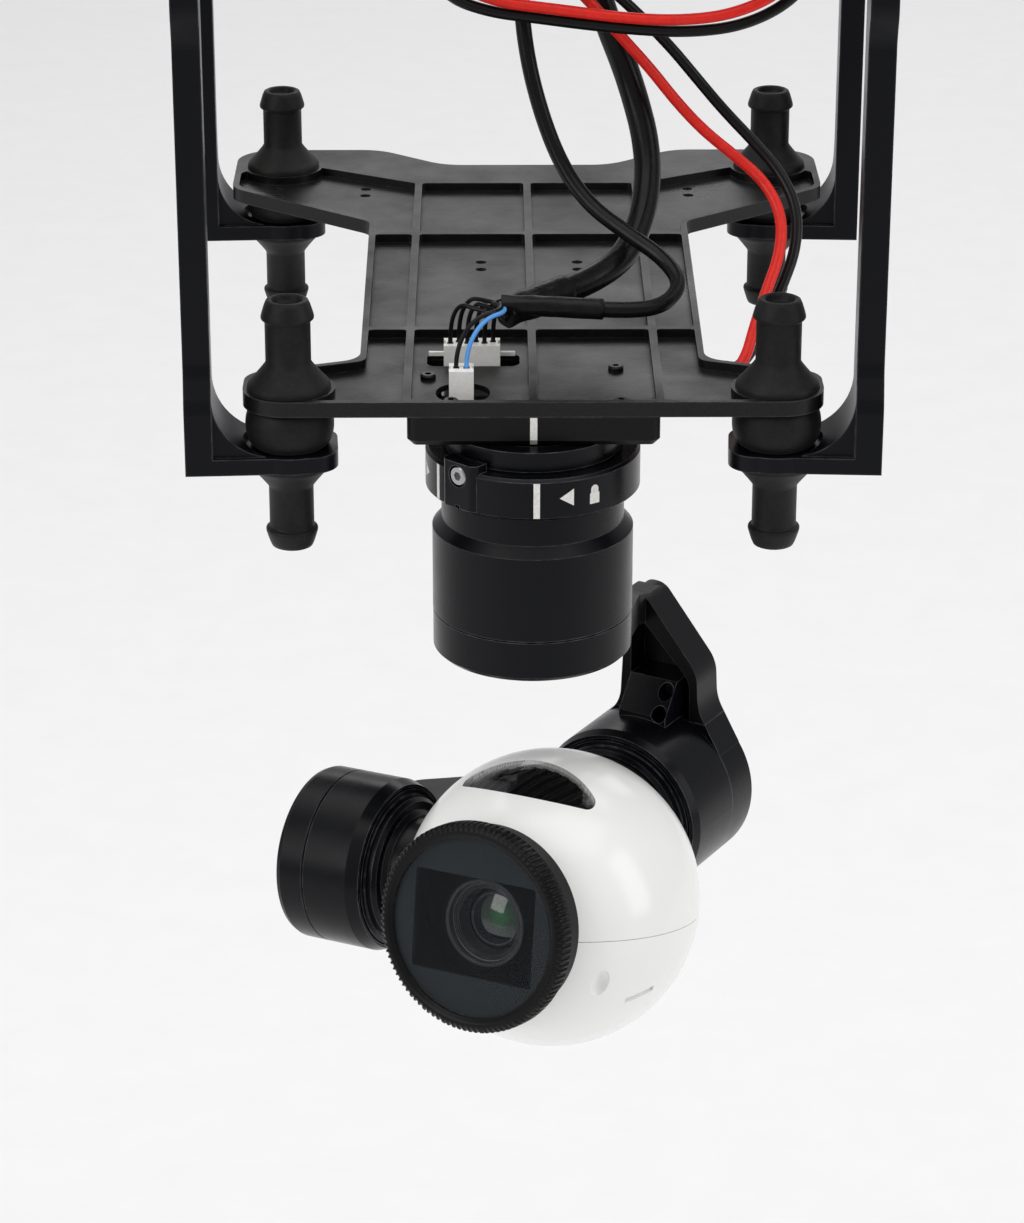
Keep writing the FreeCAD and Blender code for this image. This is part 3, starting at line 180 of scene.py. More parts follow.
def new_group(name: str, inputs: dict[str, object], outputs: dict[str, str]) -> bpy.types.NodeTree:
    """Makes an empty shader node group.

    Args:
        name: name of the group.
        inputs: default value of each input; a tuple of four is a colour.
        outputs: kind of each output, Color or Float.

    Returns:
        The group's tree with its input and output nodes.
    """
    tree = bpy.data.node_groups.new(name, "ShaderNodeTree")
    for key, value in inputs.items():
        kind = "NodeSocketColor" if isinstance(value, tuple) else "NodeSocketFloat"
        socket = tree.interface.new_socket(name=key, in_out="INPUT", socket_type=kind)
        socket.default_value = value
    for key, kind in outputs.items():
        tree.interface.new_socket(name=key, in_out="OUTPUT", socket_type="NodeSocket" + kind)
    tree.nodes.new("NodeGroupInput").name = "in"
    tree.nodes.new("NodeGroupOutput").name = "out"
    return tree


class Effects:
    """Shader node groups that the finishes share, each built once."""

    made: dict[str, bpy.types.NodeTree] = {}

    @classmethod
    def get(cls, name: str) -> bpy.types.NodeTree:
        """Returns a group, and builds it the first time.

        Args:
            name: edge_wear_and_highlight, fine_grain, drift or settled_dust.

        Returns:
            The group's tree.
        """
        if name not in cls.made:
            cls.made[name] = getattr(cls, name)()
        return cls.made[name]

    @staticmethod
    def edge_wear_and_highlight() -> bpy.types.NodeTree:
        """Mixes another colour in along the outer edges: wear where handling rubs them, and
        painted highlights along edges and seams.
        """
        tree = new_group("edge_wear_and_highlight", {"Colour": (0.0, 0.0, 0.0, 1.0),
                                          "Rubbed Colour": (0.1, 0.1, 0.1, 1.0),
                                          "Width": 0.0004, "Amount": 0.5},
                         {"Colour": "Color"})
        g = Graph(tree)
        start, end = tree.nodes["in"], tree.nodes["out"]
        bevel = g.add("Bevel", samples=4)
        plain = g.add("NewGeometry")
        dot = g.add("VectorMath", operation="DOT_PRODUCT")
        ramp = g.add("MapRange", From_Min=0.985, From_Max=0.80, To_Min=0.0, To_Max=1.0)
        patchy = g.add("TexNoise", Scale=420.0, Detail=3.0)
        place = g.add("TexCoord")
        broken = g.add("MapRange", From_Min=0.38, From_Max=0.62, To_Min=0.35, To_Max=1.0)
        edge_wear_highlight = g.add("Math", operation="MULTIPLY")
        share = g.add("Math", operation="MULTIPLY", use_clamp=True)
        # Painted highlight and wear colour mixed in along the edges.
        mix = g.add("Mix", data_type="RGBA")
        g.join(start, "Width", bevel, "Radius")
        g.join(bevel, "Normal", dot, 0)
        g.join(plain, "Normal", dot, 1)
        g.join(dot, "Value", ramp, "Value")
        g.join(place, "Object", patchy, "Vector")
        g.join(patchy, "Fac", broken, "Value")
        g.join(ramp, "Result", edge_wear_highlight, 0)
        g.join(broken, "Result", edge_wear_highlight, 1)
        g.join(edge_wear_highlight, "Value", share, 0)
        g.join(start, "Amount", share, 1)
        g.join(share, "Value", mix, "Factor")
        g.join(start, "Colour", mix, "A")
        g.join(start, "Rubbed Colour", mix, "B")
        g.join(mix, "Result", end, "Colour")
        return tree

    @staticmethod
    def fine_grain() -> bpy.types.NodeTree:
        """Blasted or moulded grain: a height for bump, and a tint that follows it."""
        tree = new_group("fine_grain", {"Colour": (0.0, 0.0, 0.0, 1.0), "Scale": 2500.0,
                                        "Tint": 0.15}, {"Colour": "Color", "Height": "Float"})
        g = Graph(tree)
        start, end = tree.nodes["in"], tree.nodes["out"]
        place = g.add("TexCoord")
        fine = g.add("TexNoise", Detail=2.0, Roughness=0.6)
        shade = g.add("MapRange", From_Min=0.3, From_Max=0.7, To_Min=-1.0, To_Max=1.0)
        depth = g.add("Math", operation="MULTIPLY_ADD")
        depth.inputs[2].default_value = 1.0
        scaled = g.add("VectorMath", operation="SCALE")
        g.join(place, "Object", fine, "Vector")
        g.join(start, "Scale", fine, "Scale")
        g.join(fine, "Fac", shade, "Value")
        g.join(shade, "Result", depth, 0)
        g.join(start, "Tint", depth, 1)
        g.join(start, "Colour", scaled, "Vector")
        g.join(depth, "Value", scaled, "Scale")
        g.join(scaled, "Vector", end, "Colour")
        g.join(fine, "Fac", end, "Height")
        return tree

    @staticmethod
    def drift() -> bpy.types.NodeTree:
        """Slow change of a value over the surface, for roughness."""
        tree = new_group("drift", {"Value": 0.5, "Spread": 0.1, "Scale": 60.0},
                         {"Value": "Float"})
        g = Graph(tree)
        start, end = tree.nodes["in"], tree.nodes["out"]
        place = g.add("TexCoord")
        cloud = g.add("TexNoise", Detail=4.0, Roughness=0.62)
        centred = g.add("MapRange", From_Min=0.3, From_Max=0.7, To_Min=-1.0, To_Max=1.0)
        total = g.add("Math", operation="MULTIPLY_ADD", use_clamp=True)
        g.join(place, "Object", cloud, "Vector")
        g.join(start, "Scale", cloud, "Scale")
        g.join(cloud, "Fac", centred, "Value")
        g.join(centred, "Result", total, 0)
        g.join(start, "Spread", total, 1)
        g.join(start, "Value", total, 2)
        g.join(total, "Value", end, "Value")
        return tree

    @staticmethod
    def settled_dust() -> bpy.types.NodeTree:
        """Pale dust specks that lie on the faces that look up."""
        tree = new_group("settled_dust", {"Colour": (0.0, 0.0, 0.0, 1.0),
                                          "Dust Colour": (0.3, 0.29, 0.27, 1.0),
                                          "Amount": 0.2},
                         {"Colour": "Color"})
        g = Graph(tree)
        start, end = tree.nodes["in"], tree.nodes["out"]
        place = g.add("TexCoord")
        face = g.add("NewGeometry")
        split = g.add("SeparateXYZ")
        up = g.add("MapRange", From_Min=0.35, From_Max=0.95, To_Min=0.0, To_Max=1.0)
        cloud = g.add("TexNoise", Scale=55.0, Detail=5.0)
        patch = g.add("MapRange", From_Min=0.46, From_Max=0.72, To_Min=0.0, To_Max=0.55)
        specks = g.add("TexVoronoi", Scale=900.0, Randomness=1.0)
        dots = g.add("MapRange", From_Min=0.16, From_Max=0.10, To_Min=0.0, To_Max=1.0)
        sparse = g.add("TexNoise", Scale=210.0, Detail=2.0)
        picked = g.add("MapRange", From_Min=0.60, From_Max=0.66, To_Min=0.0, To_Max=0.8)
        lone = g.add("Math", operation="MULTIPLY")
        both = g.add("Math", operation="ADD", use_clamp=True)
        settled = g.add("Math", operation="MULTIPLY")
        share = g.add("Math", operation="MULTIPLY", use_clamp=True)
        mix = g.add("Mix", data_type="RGBA")
        for texture in (cloud, specks, sparse):
            g.join(place, "Object", texture, "Vector")
        g.join(face, "Normal", split, "Vector")
        g.join(split, "Z", up, "Value")
        g.join(cloud, "Fac", patch, "Value")
        g.join(specks, "Distance", dots, "Value")
        g.join(sparse, "Fac", picked, "Value")
        g.join(dots, "Result", lone, 0)
        g.join(picked, "Result", lone, 1)
        g.join(patch, "Result", both, 0)
        g.join(lone, "Value", both, 1)
        g.join(both, "Value", settled, 0)
        g.join(up, "Result", settled, 1)
        g.join(settled, "Value", share, 0)
        g.join(start, "Amount", share, 1)
        g.join(share, "Value", mix, "Factor")
        g.join(start, "Colour", mix, "A")
        g.join(start, "Dust Colour", mix, "B")
        g.join(mix, "Result", end, "Colour")
        return tree


# ---------------------------------------------------------------- finishes
@dataclass(frozen=True)
class Finish:
    """Worked surface of one kind of piece.

    The base colour is tinted by the grain, changed along the edges by wear and painted highlights,
    and dusted on top.
    The roughness drifts slowly, and the grain gives the bump.
    """

    name: str
    colour: Colour
    roughness: float = 0.5
    metallic: float = 0.0
    grain: float = 2500.0
    depth: float = 0.00002
    tint: float = 0.12
    spread: float = 0.06
    drift: float = 60.0
    edge_wear_highlight: Colour | None = None
    edge_wear_highlight_width: float = 0.0004
    edge_wear_highlight_amount: float = 0.5
    dust: float = 0.0
    coat: float = 0.0
    sheen: float = 0.0
    specular: float = 0.17

    def material(self) -> bpy.types.Material:
        """Returns the finish as a material, built the first time it is asked for."""
        made = bpy.data.materials.get(self.name)
        if made:
            return made
        made = bpy.data.materials.new(self.name)
        made.use_nodes = True
        made.diffuse_color = (*self.colour, 1.0)
        g = Graph(made.node_tree)
        shader = made.node_tree.nodes["Principled BSDF"]
        shader.inputs["Metallic"].default_value = self.metallic
        shader.inputs["Specular IOR Level"].default_value = self.specular
        shader.inputs["Coat Weight"].default_value = self.coat
        shader.inputs["Coat Roughness"].default_value = 0.08
        shader.inputs["Sheen Weight"].default_value = self.sheen
        shader.inputs["Sheen Roughness"].default_value = 0.45
        grain = g.place(Effects.get("fine_grain"), Colour=(*self.colour, 1.0), Scale=self.grain,
                        Tint=self.tint)
        last = grain
        # Edge colour: wear, and on the dark finishes a painted highlight along edges and seams.
        if self.edge_wear_highlight:
            edges = g.place(Effects.get("edge_wear_and_highlight"), Rubbed_Colour=(*self.edge_wear_highlight, 1.0),
                            Width=self.edge_wear_highlight_width, Amount=self.edge_wear_highlight_amount)
            g.join(last, "Colour", edges, "Colour")
            last = edges
        if self.dust:
            dust = g.place(Effects.get("settled_dust"), Amount=self.dust)
            g.join(last, "Colour", dust, "Colour")
            last = dust
        g.join(last, "Colour", shader, "Base Color")
        drift = g.place(Effects.get("drift"), Value=self.roughness, Spread=self.spread,
                        Scale=self.drift)
        g.join(drift, "Value", shader, "Roughness")
        bump = g.add("Bump", Strength=1.0, Distance=self.depth)
        g.join(grain, "Height", bump, "Height")
        g.join(bump, "Normal", shader, "Normal")
        return made


@dataclass(frozen=True)
class ClearFinish:
    """Glass or clear plastic that lets light through, with a tint and a faint smear."""

    name: str
    colour: Colour
    roughness: float = 0.03
    transmission: float = 1.0
    ior: float = 1.5
    alpha: float = 1.0
    coat: float = 0.0

    def material(self) -> bpy.types.Material:
        """Returns the finish as a material, built the first time it is asked for."""
        made = bpy.data.materials.get(self.name)
        if made:
            return made
        made = bpy.data.materials.new(self.name)
        made.use_nodes = True
        made.diffuse_color = (*self.colour, 0.4)
        g = Graph(made.node_tree)
        shader = made.node_tree.nodes["Principled BSDF"]
        shader.inputs["Transmission Weight"].default_value = self.transmission
        shader.inputs["IOR"].default_value = self.ior
        shader.inputs["Alpha"].default_value = self.alpha
        shader.inputs["Coat Weight"].default_value = self.coat
        grain = g.place(Effects.get("fine_grain"), Colour=(*self.colour, 1.0), Scale=120.0,
                        Tint=0.04)
        smear = g.place(Effects.get("drift"), Value=self.roughness, Spread=0.02, Scale=90.0)
        g.join(grain, "Colour", shader, "Base Color")
        g.join(smear, "Value", shader, "Roughness")
        return made


@dataclass(frozen=True)
class CoatedLensFinish:
    """Dark lens element with the coating's reflection painted into its colour: green in the middle
    and violet at the rim.
    """

    name: str
    centre: Point
    axis: Point
    radius: float

    def material(self) -> bpy.types.Material:
        """Returns the finish as a material, built the first time it is asked for."""
        made = bpy.data.materials.get(self.name)
        if made:
            return made
        made = bpy.data.materials.new(self.name)
        made.use_nodes = True
        g = Graph(made.node_tree)
        shader = made.node_tree.nodes["Principled BSDF"]
        shader.inputs["Coat Weight"].default_value = 1.0
        shader.inputs["Coat Roughness"].default_value = 0.02
        shader.inputs["Specular IOR Level"].default_value = 0.6
        place = g.add("TexCoord")
        offset = g.add("VectorMath", operation="SUBTRACT")
        offset.inputs[1].default_value = self.centre
        cross = g.add("VectorMath", operation="CROSS_PRODUCT")
        cross.inputs[1].default_value = self.axis
        length = g.add("VectorMath", operation="LENGTH")
        share = g.add("MapRange", From_Min=0.0, From_Max=self.radius, To_Min=0.0, To_Max=1.0)
        # Painted reflection of the coating: bright green in the middle, fading to dark with a
        # violet tint at the rim.
        ramp = g.add("ValToRGB")
        stops = ramp.color_ramp.elements
        stops[0].position, stops[0].color = 0.0, (0.02, 0.16, 0.045, 1.0)
        stops[1].position, stops[1].color = 1.0, (0.008, 0.009, 0.012, 1.0)
        for at, colour in ((0.22, (0.012, 0.115, 0.03, 1.0)), (0.45, (0.006, 0.045, 0.018, 1.0)),
                           (0.72, (0.005, 0.012, 0.014, 1.0)), (0.88, (0.014, 0.010, 0.022, 1.0))):
            stops.new(at).color = colour
        drift = g.place(Effects.get("drift"), Value=0.06, Spread=0.02, Scale=200.0)
        g.join(place, "Object", offset, 0)
        g.join(offset, "Vector", cross, 0)
        g.join(cross, "Vector", length, 0)
        g.join(length, "Value", share, "Value")
        g.join(share, "Result", ramp, "Fac")
        g.join(ramp, "Color", shader, "Base Color")
        g.join(drift, "Value", shader, "Roughness")
        return made


class Finishes:
    """Every finish of the gimbal."""

    # Edge colours: on the dark and steel finishes they paint highlights along edges, chamfers and
    # seams as well as wear; on the white shell the edge colour is a little darker.
    BRACKET = Finish("bracket_anodised", (0.0038, 0.0041, 0.0056), 0.34, 0.2, grain=5200.0,
                     depth=0.00001, edge_wear_highlight=(0.15, 0.15, 0.16), edge_wear_highlight_width=0.0005, edge_wear_highlight_amount=0.6)
    METAL = Finish("motor_anodised", (0.0030, 0.0033, 0.0045), 0.27, 0.2, grain=6500.0,
                   depth=0.000008, edge_wear_highlight=(0.20, 0.205, 0.22), edge_wear_highlight_width=0.0003, edge_wear_highlight_amount=0.8,
                   specular=0.19)
    ARM = Finish("arm_blasted", (0.0048, 0.0049, 0.0058), 0.38, 0.2, grain=4200.0,
                 depth=0.000014, edge_wear_highlight=(0.14, 0.14, 0.145), edge_wear_highlight_width=0.0004, edge_wear_highlight_amount=0.6,
                 specular=0.2)
    PLATE = Finish("plate_glass_filled", (0.0050, 0.0047, 0.0046), 0.38, 0.0, grain=1700.0,
                   depth=0.00005, tint=0.4, spread=0.13, drift=38.0, edge_wear_highlight=(0.085, 0.084, 0.082),
                   edge_wear_highlight_width=0.00045, edge_wear_highlight_amount=0.7, dust=0.05, specular=0.27)
    BLOCK = Finish("block_moulded", (0.0040, 0.0041, 0.0050), 0.42, 0.0, grain=2600.0,
                   depth=0.00003, tint=0.25, edge_wear_highlight=(0.05, 0.05, 0.052), edge_wear_highlight_width=0.0005)
    RUBBER = Finish("damper_rubber", (0.0070, 0.0068, 0.0066), 0.55, 0.0, grain=950.0,
                    depth=0.00005, tint=0.3, spread=0.1, drift=85.0, dust=0.08, sheen=0.06,
                    specular=0.2)
    STEEL = Finish("screw_steel", (0.42, 0.42, 0.43), 0.28, 1.0, grain=3000.0, depth=0.00001,
                   edge_wear_highlight=(0.7, 0.7, 0.7), edge_wear_highlight_width=0.00015)
    BLACK_SCREW = Finish("screw_black_oxide", (0.022, 0.022, 0.024), 0.34, 0.8, grain=3000.0,
                         depth=0.00001, edge_wear_highlight=(0.16, 0.16, 0.16), edge_wear_highlight_width=0.00015)
    BOARD = Finish("board_mask", (0.008, 0.045, 0.022), 0.35, 0.0, grain=900.0, depth=0.00003,
                   tint=0.35, coat=0.5)
    CONNECTOR = Finish("connector_nylon", (0.90, 0.89, 0.85), 0.38, 0.0, grain=1400.0,
                       depth=0.00002, tint=0.04, edge_wear_highlight=(0.95, 0.94, 0.92), edge_wear_highlight_width=0.0002,
                       specular=0.5)
    PIN = Finish("pin_tinned", (0.6, 0.58, 0.52), 0.25, 1.0, grain=2500.0, depth=0.00001)
    SHEATH = Finish("cable_sheath", (0.0062, 0.0062, 0.0068), 0.26, 0.0, grain=800.0,
                    depth=0.00003, tint=0.2, spread=0.08, drift=120.0, dust=0.05)
    SHRINK = Finish("shrink_sleeve", (0.0060, 0.0060, 0.0066), 0.34, 0.0, grain=500.0,
                    depth=0.00012, tint=0.25, spread=0.1, drift=300.0, dust=0.05)
    RED = Finish("wire_silicone_red", (0.80, 0.024, 0.016), 0.40, 0.0, grain=700.0,
                 depth=0.00002, tint=0.08, spread=0.06, drift=140.0, coat=0.15)
    WIRE_BLACK = Finish("wire_silicone_black", (0.0055, 0.0055, 0.0058), 0.34, 0.0, grain=700.0,
                        depth=0.00002, tint=0.1, spread=0.06, drift=140.0, coat=0.1)
    BLUE = Finish("wire_blue", (0.05, 0.20, 0.62), 0.38, 0.0, grain=900.0, depth=0.00001,
                  tint=0.08)
    WINDING = Finish("winding_copper", (0.55, 0.22, 0.08), 0.35, 1.0, grain=1800.0,
                     depth=0.00005, tint=0.25)
    MAGNET = Finish("magnet_nickel", (0.45, 0.45, 0.45), 0.3, 1.0, grain=1500.0)
    SHELL = Finish("shell_white", (0.77, 0.765, 0.75), 0.26, 0.0, grain=300.0, depth=0.000006,
                   tint=0.012, spread=0.03, drift=45.0, edge_wear_highlight=(0.70, 0.69, 0.67),
                   edge_wear_highlight_width=0.0003, edge_wear_highlight_amount=0.3, coat=0.55, specular=0.5)
    BEZEL = Finish("bezel_black", (0.010, 0.010, 0.0105), 0.45, 0.0, grain=2600.0,
                   depth=0.00002, tint=0.2)
    RING = Finish("filter_ring_anodised", (0.0075, 0.0074, 0.0078), 0.34, 0.35, grain=4200.0,
                  depth=0.00001, edge_wear_highlight=(0.10, 0.095, 0.09), edge_wear_highlight_width=0.00018, edge_wear_highlight_amount=0.6)
    MASK = Finish("lens_mask_matt", (0.022, 0.029, 0.032), 0.6, 0.0, grain=3200.0,
                  depth=0.00001, tint=0.10)
    BARREL = Finish("lens_barrel_satin", (0.045, 0.050, 0.052), 0.30, 0.3, grain=5200.0,
                    depth=0.00001, edge_wear_highlight=(0.22, 0.23, 0.24), edge_wear_highlight_width=0.0002, edge_wear_highlight_amount=0.8,
                    specular=0.5)
    SINK = Finish("heat_sink_black", (0.020, 0.020, 0.021), 0.34, 0.3, grain=3000.0,
                  depth=0.00001, edge_wear_highlight=(0.25, 0.25, 0.25), edge_wear_highlight_width=0.0003, edge_wear_highlight_amount=0.8,
                  specular=0.4)
    PRINT = Finish("mark_white", (0.74, 0.73, 0.70), 0.55, 0.0, grain=2200.0, depth=0.00001,
                   tint=0.10)
    FLOOR = Finish("studio_floor", (0.865, 0.865, 0.87), 0.7, 0.0, grain=40.0, depth=0.0001,
                   tint=0.01, spread=0.03, drift=3.0)
    SMOKED = ClearFinish("vent_smoked", (0.006, 0.006, 0.007), 0.04, 0.0, 1.49, alpha=0.36,
                         coat=1.0)
    GLASS = ClearFinish("filter_glass_tint", (0.016, 0.021, 0.023), 0.04, 0.0, 1.5, alpha=0.16,
                        coat=0.2)


# ---------------------------------------------------------------- mesh making
Profile = Sequence[tuple[float, float]]


def rounded(profile: Profile, passes: int = 2) -> list[tuple[float, float]]:
    """Rounds the corners of an open outline by cutting them again and again.

    Args:
        profile: points of the outline.
        passes: how often each corner is cut.

    Returns:
        The rounder outline, with the same ends.
    """
    points = [tuple(p) for p in profile]
    for _ in range(passes):
        cut = [points[0]]
        for a, b in zip(points, points[1:]):
            cut.append((a[0] * 0.75 + b[0] * 0.25, a[1] * 0.75 + b[1] * 0.25))
            cut.append((a[0] * 0.25 + b[0] * 0.75, a[1] * 0.25 + b[1] * 0.75))
        points = cut + [points[-1]]
    return points


def lathe(profile: Profile, segments: int = 96,
          press: Callable[[int, float], float] | None = None) -> bmesh.types.BMesh:
    """Turns an outline about Z.

    Args:
        profile: (radius, height) points in millimetres, a radius of 0 closes the end.
        segments: number of flats round the turn.
        press: change of radius for a point of the profile at an angle, in millimetres.

    Returns:
        The turned mesh in metres.
    """
    bm = bmesh.new()
    rows = []
    for index, (radius, height) in enumerate(profile):
        if radius < 1e-6:
            rows.append([bm.verts.new((0, 0, height * MM))])
            continue
        row = []
        for i in range(segments):
            angle = 2 * math.pi * i / segments
            r = (radius + (press(index, angle) if press else 0.0)) * MM
            row.append(bm.verts.new((r * math.cos(angle), r * math.sin(angle), height * MM)))
        rows.append(row)
    for low, high in zip(rows, rows[1:]):
        for i in range(segments):
            j = (i + 1) % segments
            corners = [low[i % len(low)], low[j % len(low)], high[j % len(high)],
                       high[i % len(high)]]
            unique = list(dict.fromkeys(corners))
            if len(unique) > 2:
                bm.faces.new(unique)
    return bm


def closed_lathe(profile: Profile, segments: int = 96,
                 press: Callable[[int, float], float] | None = None) -> bmesh.types.BMesh:
    """Turns an outline whose two ends meet, such as a ring's section."""
    bm = lathe([*profile, profile[0]], segments, press)
    bmesh.ops.remove_doubles(bm, verts=bm.verts, dist=1e-7)
    return bm


def block(low: Point, high: Point, edge: float = 0.15) -> bmesh.types.BMesh:
    """Moulded block with rounded edges.

    Args:
        low: lowest corner in millimetres.
        high: highest corner in millimetres.
        edge: rounding of the edges in millimetres.

    Returns:
        The mesh in metres.
    """
    bm = bmesh.new()
    size = [(h - l) * MM for l, h in zip(low, high)]
    centre = [(h + l) / 2 * MM for l, h in zip(low, high)]
    bmesh.ops.create_cube(bm, size=1.0, matrix=Matrix.Translation(centre)
                          @ Matrix.Diagonal((*size, 1.0)))
    bmesh.ops.bevel(bm, geom=bm.edges[:], offset=min(edge * MM, min(size) * 0.45), segments=3,
                    profile=0.5, affect="EDGES")
    return bm


def printed(outline: Sequence[tuple[float, float]], wrap: Callable[[float, float], Point],
            step: float = 0.5) -> bmesh.types.BMesh:
    """Flat printed shape laid on a surface.

    Args:
        outline: corners of the shape in millimetres.
        wrap: gives the place on the surface for a point of the shape, in millimetres.
        step: longest edge left before the shape is laid on.

    Returns:
        The mesh in metres.
    """
    bm = bmesh.new()
    face = bm.faces.new([bm.verts.new((x, y, 0)) for x, y in outline])
    bmesh.ops.triangulate(bm, faces=[face])
    for _ in range(6):
        long = [e for e in bm.edges if e.calc_length() > step]
        if not long:
            break
        bmesh.ops.subdivide_edges(bm, edges=long, cuts=1)
        bmesh.ops.triangulate(bm, faces=[f for f in bm.faces if len(f.verts) > 3])
    for vert in bm.verts:
        vert.co = Vector(wrap(vert.co.x, vert.co.y)) * MM
    return bm


def joined(parts: Iterable[bmesh.types.BMesh]) -> bmesh.types.BMesh:
    """Puts several meshes into one."""
    whole = bmesh.new()
    for part in parts:
        mesh = bpy.data.meshes.new("part")
        part.to_mesh(mesh)
        part.free()
        whole.from_mesh(mesh)
        bpy.data.meshes.remove(mesh)
    return whole


def piece(name: str, bm: bmesh.types.BMesh, finish: Finish | ClearFinish | CoatedLensFinish,
          body: Body | None = None, place: Matrix | None = None,
          sharp: float = 32.0) -> bpy.types.Object:
    """Makes an object of a mesh, and dresses and mounts it.

    Args:
        name: name of the piece.
        bm: its mesh, freed here.
        finish: its finish.
        body: the body it moves with, or none to leave it unattached.
        place: matrix from the mesh's frame to the gimbal's.
        sharp: angle in degrees above which an edge stays sharp.

    Returns:
        The new object.
    """
    if place is not None:
        bm.transform(place)
    bmesh.ops.recalc_face_normals(bm, faces=bm.faces)
    mesh = bpy.data.meshes.new(name)
    bm.to_mesh(mesh)
    bm.free()
    mesh.shade_smooth()
    mesh.set_sharp_from_angle(angle=math.radians(sharp))
    obj = bpy.data.objects.new(name, mesh)
    bpy.context.scene.collection.objects.link(obj)
    mesh.materials.append(finish.material())
    if body is not None:
        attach(obj, body.value)
    LOG.info("piece %s: %d faces", name, len(mesh.polygons))
    return obj


def strand(name: str, points: Sequence[Point], radius: float, finish: Finish,
           body: Body) -> bpy.types.Object:
    """Round cable or wire on one smooth line.

    Args:
        name: name of the piece.
        points: control points of the line in metres.
        radius: radius of the strand in metres.
        finish: its finish.
        body: the body it moves with.

    Returns:
        The curve object.
    """
    curve = bpy.data.curves.new(name, "CURVE")
    curve.dimensions = "3D"
    spline = curve.splines.new("NURBS")
    spline.points.add(len(points) - 1)
    for point, place in zip(spline.points, points):
        point.co = (*place, 1.0)
    spline.order_u = 3
    spline.use_endpoint_u = True
    curve.resolution_u = 16
    curve.bevel_depth = radius
    curve.bevel_resolution = 6
    curve.use_fill_caps = True
    curve.materials.append(finish.material())
    obj = bpy.data.objects.new(name, curve)
    bpy.context.scene.collection.objects.link(obj)
    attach(obj, body.value)
    LOG.info("strand %s: %d points", name, len(points))
    return obj


def dress(frame: dict, finish: Finish | ClearFinish | CoatedLensFinish, *nodes: str) -> None:
    """Gives CAD pieces a finish.

    Args:
        frame: the loaded frame.
        finish: the finish.
        nodes: names of the pieces.
    """
    for node in nodes:
        obj = frame["nodes"][node]
        if not obj.material_slots:
            obj.data.materials.append(None)
        for material_slot in obj.material_slots:
            material_slot.material = finish.material()
        LOG.info("dressed %s with %s", node, finish.name)


def axis_of(node: str) -> tuple[float, float]:
    """Middle of a CAD piece seen from above, in millimetres."""
    low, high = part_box(node)
    return (low[0] + high[0]) / 2 / MM, (low[1] + high[1]) / 2 / MM


# ---------------------------------------------------------------- studio
@dataclass
class Studio:
    """Pale floor, soft lights and the camera."""

    camera_place: Point = (-0.00826, -0.7905, 0.1556)
    camera_tilt: float = 67.027
    camera_turn: float = -0.33
    lens: float = 114.8
    sensor_height: float = 36.0
    drop: float = 0.30
    floor_size: float = 6.0
    world: float = 0.46
    softboxes: dict[str, tuple[Point, Point, float, float, float]] = field(
        default_factory=lambda: {
            "overhead_softbox": ((0.0, 0.15, 1.55), (0.0, 0.25, -0.4), 2.6, 2.4, 27.0),
            "left_softbox": ((-1.25, -0.95, 0.55), (0.0, -0.05, -0.18), 0.7, 1.2, 8.5),
            "right_softbox": ((1.35, -0.55, 0.30), (0.0, -0.05, -0.18), 0.5, 1.2, 5.0),
            "rear_softbox": ((0.5, 2.4, 1.2), (0.0, 1.2, -0.5), 2.4, 1.0, 12.0),
        })

    def build(self) -> None:
        """Builds the floor, the lights, the sky and the camera."""
        low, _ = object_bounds()
        bm = bmesh.new()
        bmesh.ops.create_circle(bm, cap_ends=True, segments=96, radius=self.floor_size)
        mesh = bpy.data.meshes.new("floor")
        bm.to_mesh(mesh)
        bm.free()
        floor = bpy.data.objects.new("floor", mesh)
        floor.location = (0.0, 0.0, low[2] - self.drop)
        mesh.materials.append(Finishes.FLOOR.material())
        bpy.context.scene.collection.objects.link(floor)
        floor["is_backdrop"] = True
        for name, (place, aim, width, height, power) in self.softboxes.items():
            self.softbox(name, place, aim, width, height, power)
        world = bpy.data.worlds.new("studio_air")
        world.use_nodes = True
        air = world.node_tree.nodes["Background"]
        air.inputs["Color"].default_value = (0.955, 0.965, 1.0, 1.0)
        air.inputs["Strength"].default_value = self.world
        bpy.context.scene.world = world
        bpy.context.scene.view_settings.view_transform = "Standard"
        self.aim_camera()

    def softbox(self, name: str, place: Point, aim: Point, width: float, height: float,
                power: float) -> None:
        """Adds one soft area light.

        Args:
            name: name of the light.
            place: its middle.
            aim: the point it faces.
            width: width in metres.
            height: height in metres.
            power: power in watts.
        """
        light = bpy.data.lights.new(name, "AREA")
        light.shape = "RECTANGLE"
        light.size, light.size_y, light.energy = width, height, power
        light.color = (1.0, 0.985, 0.965)
        obj = bpy.data.objects.new(name, light)
        obj.location = place
        obj.rotation_euler = (Vector(aim) - Vector(place)).to_track_quat("-Z", "Y").to_euler()
        bpy.context.scene.collection.objects.link(obj)

    def aim_camera(self) -> None:
        """Adds the camera."""
        camera = bpy.data.cameras.new("camera")
        camera.sensor_fit = "VERTICAL"
        camera.sensor_height = self.sensor_height
        camera.lens = self.lens
        camera.clip_start, camera.clip_end = 0.02, 30.0
        obj = bpy.data.objects.new("camera", camera)
        obj.location = self.camera_place
        obj.rotation_euler = (math.radians(self.camera_tilt), 0.0,
                              math.radians(self.camera_turn))
        bpy.context.scene.collection.objects.link(obj)
        bpy.context.scene.camera = obj


